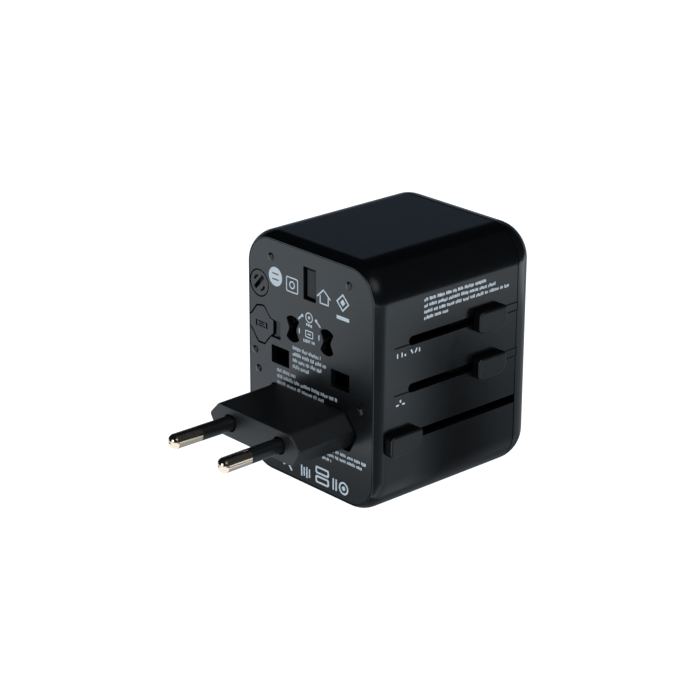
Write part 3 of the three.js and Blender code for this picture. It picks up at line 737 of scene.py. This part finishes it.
def pry_notch():
    """A ramped recess beside the door, deepest at the door's edge."""
    door_side, floor = -14.4, 0.55
    notch = box("notch", (door_side, -0.6, 37.75), (-11.05, floor, 42.45))
    edit(
        notch, "FACE", lambda middle, normal: normal.y > 0.9,
        lambda: bpy.ops.transform.rotate(
            value=math.radians(-6), orient_axis="Z", center_override=(door_side, floor, 40)),
    )
    return notch


COIN_SLOT_TURN = -47
DIMPLE_RING = 1.95


def make_fuse_cap():
    cap = rod("coin_slot_cap", *FUSE, 0.05, PLATE_T, 3.36, 72)
    cut = box("coin_slot", (-2.4, -PAST, -0.55), (2.4, 1.3, 0.55))
    only(cut)
    cut.rotation_euler = (0, math.radians(COIN_SLOT_TURN), 0)
    cut.location = (FUSE[0] - 0.12, 0, FUSE[1] + 0.15)
    bpy.ops.object.transform_apply(location=True, rotation=True, scale=True)
    combine(cap, cut)
    for hand in (-1, 1):
        for step in (-1, 0, 1):
            turn = COIN_SLOT_TURN + 180 if hand > 0 else COIN_SLOT_TURN
            angle = math.radians(turn) + step * 0.36
            x = FUSE[0] + DIMPLE_RING * math.cos(angle)
            z = FUSE[1] + DIMPLE_RING * math.sin(angle)
            dimple = rod("dimple", x, z, -0.5, 0.3, 0.3, 12)
            combine(cap, dimple)
    soften(cap, 0.09)
    stem = rod("stem", *FUSE, PLATE_T - 0.1, 4.2, 2.6, 32)
    combine(cap, stem, "UNION")
    smooth(cap)
    settle(cap, "cap_turn", face_plastic, ["fuse_cap"])


def make_fuse_door():
    door = outline_solid("fuse_door_moulding", [door_outline(0)], 0.03, PLATE_T)
    x, z = DOOR
    sign = [
        bar(x - 2.3, x - 1.6, z - 0.8, z + 0.8),
        bar(x - 1.25, x + 1.25, z + 0.4, z + 0.75),
        bar(x - 0.9, x + 0.9, z - 0.15, z + 0.15),
        bar(x - 1.25, x + 1.25, z - 0.75, z - 0.4),
        bar(x + 1.6, x + 2.3, z - 0.8, z + 0.8),
    ]
    cut_away(door, [outline_solid("sign", [ring], -0.5, 0.3) for ring in sign])
    soften(door, 0.05)
    lug = box("lug", (x - 2.6, PLATE_T - 0.1, z - 1.2), (x + 2.2, 3.4, z + 1.2))
    combine(door, lug, "UNION")
    smooth(door)
    settle(door, "door", face_plastic, ["fuse_door"])


# ---- slides ---------------------------------------------------------------------------

CROWN_SLOPE = 0.35


def make_knob(name, node, body, slot_z, longer=0.0):
    """A thumb pad with a satin crown and darker flanks of painted shade, its rear lower corner a
    long curve.
    """
    low, high = box_of(node)
    top, rear = high.z + 0.4, high.y + longer
    corners = [
        (low.y, low.z, 1.3), (rear, low.z, 2.8), (rear, top, 0.7), (low.y, top, 1.2),
    ]
    pad = outline_solid(name, [fillet(corners, 0.7, 8)], low.x, high.x, "side")
    edit(
        pad, "FACE", lambda middle, normal: normal.x > 0.9,
        lambda: bpy.ops.mesh.bevel(
            offset=0.6, segments=6, affect="EDGES", clamp_overlap=False),
    )
    neck_low = (low.x - 0.6, low.y + 2.5, slot_z - 0.8)
    neck = box("neck", neck_low, (low.x + 0.4, high.y - 2.5, slot_z + 0.8))
    combine(pad, neck, "UNION")
    smooth(pad)
    settle(pad, body, knob_plastic, [node])
    # Faces not turned out to the side take the darker copy: painted shade on the flanks.
    pad.data.materials.append(flank_painted_shade_plastic)
    for face in pad.data.polygons:
        if face.normal.x < CROWN_SLOPE:
            face.material_index = 1


def make_plug_body():
    """The European plug: a tapered grip, the flange it slides on and the arm to its knob."""
    high = box_of("eu_plug_body")[1]
    grip = outline_solid("european_plug_body", [plug_outline()], PLUG_FACE, 8)
    edit(
        grip, "FACE", lambda middle, normal: normal.y > 0.9,
        lambda: bpy.ops.transform.resize(
            value=(0.955, 1, 1.19), center_override=(0, 8, EU_Z)),
    )
    edit(
        grip, "FACE", lambda middle, normal: normal.y < -0.9,
        lambda: bpy.ops.mesh.bevel(offset=0.4, segments=4, affect="EDGES", clamp_overlap=False),
    )
    flange = box("flange", (-19.9, 2.6, 14.8), (19.9, high.y, 26.2))
    arm = box("arm", (15, 5.2, EU_SLOT_Z - 0.82), (HALF_W - 0.05, 9.9, EU_SLOT_Z + 0.82))
    join_on(grip, [flange, arm])
    cut_away(grip, [
        rod("recess", side * EU_PIN_X, EU_PIN_Z, PLUG_FACE - PAST, PLUG_FACE + 6, 2.36)
        for side in (-1, 1)
    ])
    smooth(grip, 30)
    settle(grip, "eu_slider", plug_plastic, ["eu_plug_body"])


def lean(piece, side):
    """Tips a round pin in towards its twin, by a fifth of a millimetre over its length."""
    root = Vector((side * EU_PIN_X, PLUG_FACE, EU_PIN_Z))
    angle = side * math.atan(0.2 / 19.4)
    turn = Matrix.Translation(root) @ Matrix.Rotation(angle, 4, "Z") @ Matrix.Translation(-root)
    only(piece)
    piece.matrix_world = turn
    bpy.ops.object.transform_apply(location=True, rotation=True, scale=True)


def make_plug_pins():
    tip = box_of("eu_pin_left")[0].y + 0.02
    bare = PLUG_FACE - EU_SLEEVE_LENGTH
    for hand, side in (("left", -1), ("right", 1)):
        x, z = side * EU_PIN_X, EU_PIN_Z
        metal = rod(f"round_pin_{hand}", x, z, tip, bare, EU_PIN_R, 48)
        round_off(metal, lambda middle, along: middle.y < tip + 0.01, 1.85, 10)
        core = rod("core", x, z, bare - 0.1, PLUG_FACE + 5.8, 1.4, 32)
        combine(metal, core, "UNION")
        lean(smooth(metal), side)
        settle(metal, "eu_slider", pin_nickel, [f"eu_pin_{hand}"])
        sleeve = rod(f"round_pin_sleeve_{hand}", x, z, bare + 0.06, PLUG_FACE + 4, 1.97, 48)
        bore = rod("bore", x, z, bare - PAST, PLUG_FACE + 5, 1.5, 32)
        combine(sleeve, bore)
        lean(soften(sleeve, 0.12), side)
        settle(sleeve, "eu_slider", sleeve_plastic, [f"eu_sleeve_{hand}"])


def flat_pin(name, low, high, chamfer, edge):
    """A rectangular pin whose front end is drawn in."""
    pin = box(name, low, high)
    edit(
        pin, "EDGE", lambda middle, along: middle.y < low[1] + 0.01,
        lambda: bpy.ops.mesh.bevel(offset=chamfer, segments=1, affect="EDGES"),
    )
    return soften(pin, edge, 3, 20)


def make_british_pins():
    for hand, side in (("live", 1), ("neutral", -1)):
        low, high = box_of(f"uk_{hand}_pin")
        sleeve_low, sleeve_high = box_of(f"uk_{hand}_sleeve")
        metal_end = sleeve_low.y - 0.08
        pin = flat_pin(f"{hand}_flat_pin", low, (high.x, metal_end, high.z), 0.7, 0.12)
        middle = (low + high) / 2
        core_low = (middle.x - 2.5, metal_end - 0.5, middle.z - 1.35)
        core = box("core", core_low, (middle.x + 2.5, high.y, middle.z + 1.35))
        combine(pin, core, "UNION")
        smooth(pin)
        settle(pin, "uk_slider", pin_nickel, [f"uk_{hand}_pin"])
        sleeve = box(f"{hand}_pin_sleeve", sleeve_low, sleeve_high)
        bore_low = (middle.x - 2.7, sleeve_low.y - PAST, middle.z - 1.55)
        bore = box("bore", bore_low, (middle.x + 2.7, sleeve_high.y + PAST, middle.z + 1.55))
        combine(sleeve, bore)
        soften(sleeve, 0.14)
        settle(sleeve, "uk_slider", sleeve_plastic, [f"uk_{hand}_sleeve"])
    low, high = box_of("uk_earth_pin")
    low.y = 0.55
    earth = flat_pin("earth_pin_moulding", low, high, 0.55, 0.14)
    settle(earth, "uk_slider", earth_plastic, ["uk_earth_pin"])


def make_blades():
    for hand in ("left", "right"):
        low, high = box_of(f"blade_{hand}")
        blade = flat_pin(f"flat_blade_{hand}", low, high, 0.45, 0.1)
        settle(blade, f"{hand}_blade", pin_nickel, [f"blade_{hand}"])


# ---- ports and lamp ---------------------------------------------------------------------

def make_ports():
    for hand, x in (("left", -USB_X), ("right", USB_X)):
        low, high = box_of(f"usb_a_shell_{hand}")
        rings = [rectangle(x, USB_Z, 13.1, 5.7, 0.5), rectangle(x, USB_Z, 12.4, 5.0, 0.3)]
        shell = outline_solid(f"wide_port_shell_{hand}", rings, low.y, high.y)
        soften(shell, 0.08)
        settle(shell, "housing", bright_steel, [f"usb_a_shell_{hand}"])
        tongue_low, tongue_high = box_of(f"usb_a_tongue_{hand}")
        tongue = box(f"wide_port_tongue_{hand}", tongue_low, tongue_high)
        soften(tongue, 0.12)
        settle(tongue, "housing", inner_plastic, [f"usb_a_tongue_{hand}"])
        middle = (tongue_low + tongue_high) / 2
        strips = []
        for k in range(4):
            left = middle.x - 3.9 + 2.2 * k
            strips.append(bar(left, left + 1.1, tongue_low.z - 0.05, tongue_low.z + 0.1))
        name = f"wide_port_pads_{hand}"
        pads = outline_solid(name, strips, tongue_low.y + 2, tongue_high.y - 0.6)
        smooth(pads)
        settle(pads, "housing", contact_brass)
    low, high = box_of("usb_c_shell")
    rings = [rectangle(0, USB_Z, 8.94, 3.2, 1.55, 8), rectangle(0, USB_Z, 8.3, 2.56, 1.25, 8)]
    shell = outline_solid("narrow_port_shell", rings, low.y, high.y)
    soften(shell, 0.07)
    settle(shell, "housing", bright_steel, ["usb_c_shell"])
    tongue_low, tongue_high = box_of("usb_c_tongue")
    tongue = box("narrow_port_tongue", tongue_low, tongue_high)
    soften(tongue, 0.1)
    settle(tongue, "housing", inner_plastic, ["usb_c_tongue"])


def make_lamp():
    low, high = box_of("pilot_lens")
    lamp = rod("lamp_lens", 0, LENS_Z, low.y, high.y, 1.5, 40)
    round_off(lamp, lambda middle, along: middle.y > high.y - 0.01, 0.6, 6)
    smooth(lamp, 60)
    settle(lamp, "housing", lens, ["pilot_lens"])


# ---- printing ---------------------------------------------------------------------------

def small_print(rows, height):
    """Rows of close strokes that read as fine print without being letters."""
    strokes = []
    for start, end, base in rows:
        x = start
        left_in_word = random.randint(3, 8)
        while x < end - 0.2:
            width = random.uniform(0.2, 0.34)
            tall = height * random.choice((1.0, 0.78, 0.78, 0.9))
            drop = random.choice((0, 0, 0, 0.16)) * height
            strokes.append(bar(x, min(x + width, end), base - drop, base - drop + tall))
            x += width + random.uniform(0.13, 0.2)
            left_in_word -= 1
            if left_in_word == 0:
                x += 0.42
                left_in_word = random.randint(3, 9)
    return strokes


def thick_line(x0, z0, x1, z1, width):
    """A straight stroke between two points."""
    along = Vector((x1 - x0, z1 - z0)).normalized() * width / 2
    across = Vector((-along.y, along.x))
    a, b = Vector((x0, z0)), Vector((x1, z1))
    return [tuple(a - across), tuple(b - across), tuple(b + across), tuple(a + across)]


def make_face_print():
    # A disc with two bars left bare, then a ring in a frame.
    rings = [circle(-12.87, 54.27, 2.52, 48)]
    rings += [bar(-14.1, -11.65, 54.85, 55.2), bar(-14.1, -11.65, 53.35, 53.7)]
    x, z = -6.55, 53.67
    rings += [rectangle(x, z, 4.5, 4.06, 0.5), rectangle(x, z, 3.86, 3.42, 0.35)]
    rings += [circle(x, z, 1.05, 24), circle(x, z, 0.7, 24)]
    # A plain house.
    eave, apex, base = 2.95, (5.25, 55.62), 51.72
    rings.append(thick_line(eave - 0.15, 53.4, apex[0], apex[1], 0.38))
    rings.append(thick_line(apex[0] + 0.12, apex[1] - 0.27, 7.7, 53.55, 0.38))
    rings.append(bar(3.75, 4.1, base, 53.9))
    rings.append(bar(6.7, 7.05, base, 53.95))
    rings.append(bar(4.15, 6.65, base, base + 0.35))
    # A diamond over a bar.
    middle, tall = (12.15, 54.1), 2.35
    rings += [circle(*middle, tall, 4), circle(*middle, tall - 0.55, 4)]
    rings.append(circle(*middle, 0.9, 4))
    rings.append(bar(9.95, 14.46, 49.56, 50.5))
    # Between the blade openings: a ring, a frame, and arrows that turn from one to the other.
    x, z = -0.19, 46.82
    rings += [circle(x, z, 1.38, 32), circle(x, z, 1.08, 32), circle(x, z, 0.42, 16)]
    x, z = -0.17, 42.38
    rings += [rectangle(x, z, 2.95, 1.95, 0.35), rectangle(x, z, 2.4, 1.4, 0.22)]
    rings.append(bar(-0.75, 0.4, 42.2, 42.56))
    rings += [bar(-1.3, -0.75, 44.55, 45.15), bar(-0.55, 0.0, 44.45, 45.15)]
    rings.append(bar(0.3, 0.85, 44.35, 45.1))
    rings += small_print([(-2.35, 1.85, 40.1)], 0.9)
    rings.append(thick_line(-4.25, 45.4, -3.1, 46.55, 0.45))
    rings.append(thick_line(-3.0, 46.55, -2.45, 46.95, 0.75))
    rings.append(thick_line(2.15, 46.95, 2.75, 46.4, 0.75))
    rings.append(thick_line(2.85, 46.3, 4.0, 45.4, 0.4))
    rings += [bar(-4.05, -3.7, 41.66, 43.08), bar(3.28, 3.62, 41.83, 43.22)]
    rings += small_print([
        (-6.4, 4.1, 36.75), (-6.4, 6.2, 35.1), (-6.4, 4.4, 33.45), (-6.4, -0.3, 31.8),
    ], 0.95)
    rings += small_print([(-12.5, -5.4, 29.1), (-12.5, 10.3, 27.4), (-12.5, 5.8, 25.72)], 0.95)
    rings += small_print([(5.6, 21.0, 13.5), (4.9, 19.3, 12.0), (4.8, 8.0, 10.55)], 0.85)
    rings += lower_marks()
    ink = outline_solid("pin_face_print", rings, -0.02, 0.04)
    settle(ink, "housing", print_ink)


def lower_marks():
    """Plain marks along the foot of the pin face: slants, bars, stacked frames and a ring."""
    rings = []
    for k, tall in enumerate((3.0, 2.4, 3.0, 2.4)):
        left = -3.4 + 1.0 * k
        rings.append(bar(left, left + 0.5, 4.6 - tall / 2, 4.6 + tall / 2))
    rings.append(thick_line(-8.1, 4.6, -6.9, 3.2, 0.6))
    rings.append(thick_line(-11.3, 5.6, -9.7, 4.1, 0.6))
    for z in (6.75, 4.2):
        rings += [rectangle(4.7, z, 5.1, 2.1, 0.6), rectangle(4.7, z, 4.0, 1.05, 0.3)]
    x, z = 12.7, 4.85
    rings += [circle(x, z, 1.75, 36), circle(x, z, 1.25, 36), circle(x, z, 0.62, 20)]
    rings.append(bar(8.6, 9.1, 3.3, 6.4))
    rings.append(bar(9.7, 10.2, 3.3, 6.4))
    return rings


def make_side_print():
    rows = [(15.5, 37.3, 54.15), (15.5, 40.8, 52.6), (15.5, 45.3, 51.0), (15.5, 23.6, 49.45)]
    rings = small_print(rows, 0.85)
    # Pin patterns beside the slots: upright and slanted blades, then three flat pins.
    z = USAUS_SLOT_Z - 2.85
    rings += [bar(6.5, 6.85, z - 0.6, z + 0.6), bar(8.0, 8.35, z - 0.6, z + 0.6)]
    rings += [circle(9.25, z - 0.25, 0.3, 12)]
    rings.append(thick_line(11.2, z + 0.6, 11.8, z - 0.5, 0.36))
    rings.append(thick_line(13.2, z + 0.6, 12.6, z - 0.5, 0.36))
    rings += [bar(13.9, 14.25, z - 0.6, z + 0.45)]
    z = UK_SLOT_Z - 3.0
    rings += [bar(7.6, 8.1, z + 0.15, z + 0.85), bar(6.4, 7.3, z - 0.6, z - 0.2)]
    rings += [bar(8.4, 9.3, z - 0.6, z - 0.2)]
    ink = outline_solid("side_print", rings, HALF_W - 0.04, HALF_W + 0.02, "side")
    settle(ink, "housing", print_ink)


# ---- the pieces that show only through openings keep their own meshes --------------------

INNER_FINISHES = {
    "usb_deck": inner_plastic,
    "rail_deck": inner_plastic,
    "contact_carrier": inner_plastic,
    "live_contact": contact_brass,
    "neutral_contact": contact_brass,
    "live_bus": contact_brass,
    "neutral_bus": contact_brass,
    "safety_shutter": pale_plastic,
    "shutter_spring": bright_steel,
    "usb_board": board,
    "transformer": tape,
    "input_capacitor": can_aluminium,
    "output_capacitor_left": can_aluminium,
    "output_capacitor_right": can_aluminium,
    "bridge_rectifier": inner_plastic,
    "control_chip": inner_plastic,
    "filter_choke": tape,
    "fuse": fuse_ceramic,
    "spare_fuse": fuse_ceramic,
    "fuse_clip_front": contact_brass,
    "fuse_clip_rear": contact_brass,
    "uk_carriage": inner_plastic,
    "usaus_carriage": inner_plastic,
    "blade_hub_left": inner_plastic,
    "blade_hub_right": inner_plastic,
}


def finish_inner_pieces():
    for name, finish in INNER_FINISHES.items():
        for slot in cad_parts[name].material_slots:
            slot.material = finish


# ---- stage, light and camera ----------------------------------------------------------
# Only glossy surfaces see the flags, which give the block something to mirror: painted shadow and
# painted light on the floor round it, and standing cards that are painted reflections.

FLOOR_GLOW = Vector((1.04, 1.12, 1.20))
SIDE = HALF_W * MM
BESIDE_END = 0.125
SIGHT_SLOPE = 0.916
MIRRORED_DEPTH = 0.060
PLUG_SHADE_SLOPE = 0.45


def glowing(name, colour, base=0.0):
    """A surface of one even brightness."""
    return Paint(name).surface(
        Base_Color=shade(base, base, base), Roughness=0.9, Emission_Color=shade(*colour),
        Emission_Strength=1.0, IOR=1.0,
    )


def shaded_floor(name, shade_at):
    """Painted shadow on the floor, its darkness varying from place to place; shade_at gives 0 dark
    to 1 full.
    """
    paint = Paint(name)
    across, back = paint.across("X"), paint.across("Y")
    glow = paint.blend(shade_at(paint, across, back), shade(0, 0, 0), shade(*FLOOR_GLOW))
    return paint.surface(
        Base_Color=shade(0, 0, 0), Roughness=0.9, Emission_Color=glow, Emission_Strength=1.0,
        IOR=1.0,
    )


def beside(paint, across, back):
    """Painted shadow: dark in a band that the side mirrors at mid-depth, clearing away from the
    block.
    """
    along_side = (back - FACE - (across - SIDE) * SIGHT_SLOPE) / MIRRORED_DEPTH
    band = paint.ramp(along_side, [
        (0.0, 0.92), (0.22, 0.95), (0.33, 0.36), (0.42, 0.0), (0.56, 0.0), (0.64, 0.10),
        (0.80, 0.40), (1.0, 0.50),
    ])
    reach = across / BESIDE_END
    foot = paint.ramp(reach, [(0.19, 0.26), (0.22, 0.42), (0.41, 0.48), (0.70, 0.95)])
    lift = paint.ramp(reach, [(0.19, 0.12), (0.30, 0.07), (0.44, 0.05), (0.58, 0.0)])
    far = paint.ramp(reach, [(0.84, 0.0), (0.90, 0.25), (0.95, 0.60), (1.0, 1.0)])
    return band * foot * (1 - far) + lift + far


def ahead(paint, across, back):
    """Painted shade: dark towards the front, brightening round towards the side."""
    bearing = (back + 0.030) / (across - 0.018)
    return paint.ramp(bearing + 0.2, [(0.1, 0.2), (0.3, 0.3), (0.52, 0.8), (0.75, 1.0)])


def before_plug(paint, across, back):
    """Painted shadow of the plug: dark in front of its pins, clearing towards the left and the
    front.
    """
    sideways = (across - back * PLUG_SHADE_SLOPE) * 10 + 0.5
    left = paint.ramp(sideways, [
        (0.20, 1.0), (0.29, 0.65), (0.36, 0.25), (0.42, 0.08), (0.50, 0.0),
    ])
    front = paint.ramp(back * -5, [(0.62, 0.0), (0.74, 1.0)])
    return left + front - left * front


def card(name, corners, finish):
    """A flat card through four corners, in metres."""
    bpy.ops.mesh.primitive_plane_add(size=1)
    piece = placed(name)
    order = (corners[0], corners[1], corners[3], corners[2])
    for vertex, corner in zip(piece.data.vertices, order):
        vertex.co = corner
    piece.data.materials.append(finish)
    return piece


def flag(name, corners, finish):
    piece = card(name, corners, finish)
    piece.visible_camera = False
    piece.visible_diffuse = False
    piece.visible_shadow = False


def even_flag(name, corners, colour):
    flag(name, corners, glowing(name, colour))


def on_floor(height, *places):
    return [(x, y, height) for x, y in places]


def standing(x0, y0, x1, y1, low, high):
    return [(x0, y0, low), (x1, y1, low), (x1, y1, high), (x0, y0, high)]


def set_stage():
    pale = glowing("pale_floor", FLOOR_GLOW, 0.3)
    card("floor", on_floor(-0.0005, (-3, -3), (3, -3), (3, 3), (-3, 3)), pale)
    # Painted shade on the floor behind, beside, ahead of and below the block and the plug, seen
    # only in reflections.
    corners = on_floor(-0.0004, (-1.7, 0.03), (0.03, 0.03), (0.03, 1.7), (-1.7, 1.7))
    even_flag("shade_behind", corners, FLOOR_GLOW * 0.36)
    corners = on_floor(
        -0.0003, (0.0246, -0.0281), (BESIDE_END, -0.0281), (BESIDE_END, 0.15), (0.0246, 0.15))
    flag("shade_beside", corners, shaded_floor("side_floor_shade", beside))
    # A painted brighter patch of floor past the shade beside the block, seen only in reflections.
    corners = on_floor(
        -0.0003, (BESIDE_END, -0.05), (0.21, -0.05), (0.21, 0.24), (BESIDE_END, 0.24))
    even_flag("glow_beside", corners, FLOOR_GLOW * 1.12)
    corners = on_floor(
        -0.0002, (0.0255, -0.0285), (0.16, -0.17), (0.22, 0.04), (0.0255, -0.0262))
    flag("shade_ahead", corners, shaded_floor("front_floor_shade", ahead))
    corners = on_floor(
        -0.0001, (-0.027, -0.0300), (0.0246, -0.0300), (0.0250, 0.040), (-0.030, 0.040))
    even_flag("shade_below", corners, FLOOR_GLOW * 0.14)
    corners = on_floor(
        -0.0001, (-0.026, -0.030), (-0.020, -0.054), (0.030, -0.054), (0.0255, -0.030))
    even_flag("shade_under_plug", corners, FLOOR_GLOW * 0.36)
    corners = on_floor(
        -0.0002, (-0.078, -0.093), (-0.022, -0.093), (-0.048, -0.150), (-0.104, -0.150))
    flag("shade_before_plug", corners, shaded_floor("plug_floor_shade", before_plug))
    # Standing cards seen only in reflections: a painted dark wall, a painted pale horizon and a
    # painted dim card behind.
    even_flag("painted_dark_reflection", standing(0.30, -0.2, 0.02, 0.46, 0, 1.5), (0.03, 0.035, 0.04))
    even_flag("painted_horizon_reflection", standing(-1.6, 0.1, -0.1, 1.6, 0.0, 0.15), (0.24, 0.25, 0.27))
    even_flag("painted_rear_reflection", standing(-1.6, 0.1, -0.1, 1.6, 0.15, 0.62), (0.075, 0.092, 0.125))


def add_light(name, place, aim, size, power, glossy):
    bpy.ops.object.light_add(type="AREA", location=place)
    lamp = bpy.context.object
    lamp.name = name
    lamp.data.size = size
    lamp.data.energy = power
    lamp.rotation_euler = (Vector(aim) - Vector(place)).to_track_quat("-Z", "Y").to_euler()
    lamp.visible_glossy = glossy
    return lamp


def set_light():
    world = bpy.data.worlds.new("studio")
    world.use_nodes = True
    world.node_tree.nodes["Background"].inputs["Color"].default_value = shade(0.007, 0.008, 0.0095)
    bpy.context.scene.world = world
    add_light("overhead_softbox", (0, 0, 0.9), (0, 0, 0), 0.8, 1.6, False)
    add_light("front_softbox", (0.06, -0.95, 0.30), (0, 0, 0.03), 0.42, 2.0, True)
    key = add_light("key_softbox", (0.57, -0.12, 0.58), (0, 0, 0.06), 0.26, 3.4, True)
    key.data.color = (1.0, 0.93, 0.92)
    bpy.context.scene.view_settings.view_transform = "Standard"


def set_camera():
    turn, rise, roll = (math.radians(a) for a in (47.502, 21.342, 0.287))
    level_x, level_y = math.sin(turn) * math.cos(rise), -math.cos(turn) * math.cos(rise)
    back = Vector((level_x, level_y, math.sin(rise)))
    level = Vector((0, 0, 1)).cross(back).normalized()
    above = back.cross(level)
    right = level * math.cos(roll) + above * math.sin(roll)
    up = above * math.cos(roll) - level * math.sin(roll)
    bpy.ops.object.camera_add()
    camera = bpy.context.object
    matrix = Matrix((right, up, back)).transposed().to_4x4()
    matrix.translation = Vector((399.99, -381.02, 246.78)) * MM
    camera.matrix_world = matrix
    camera.data.sensor_width = 36
    camera.data.lens = 118.585
    camera.data.clip_start = 0.01
    bpy.context.scene.camera = camera


make_main_shell()
make_rear_cap()
make_pin_plate()
make_fuse_cap()
make_fuse_door()
make_knob("thumb_pad_blades", "usaus_knob", "usaus_slider", USAUS_SLOT_Z)
make_knob("thumb_pad_british", "uk_knob", "uk_slider", UK_SLOT_Z)
make_knob("thumb_pad_european", "eu_knob", "eu_slider", EU_SLOT_Z, 0.9)
make_plug_body()
make_plug_pins()
make_british_pins()
make_blades()
make_ports()
make_lamp()
make_face_print()
make_side_print()
finish_inner_pieces()
set_stage()
set_light()
set_camera()
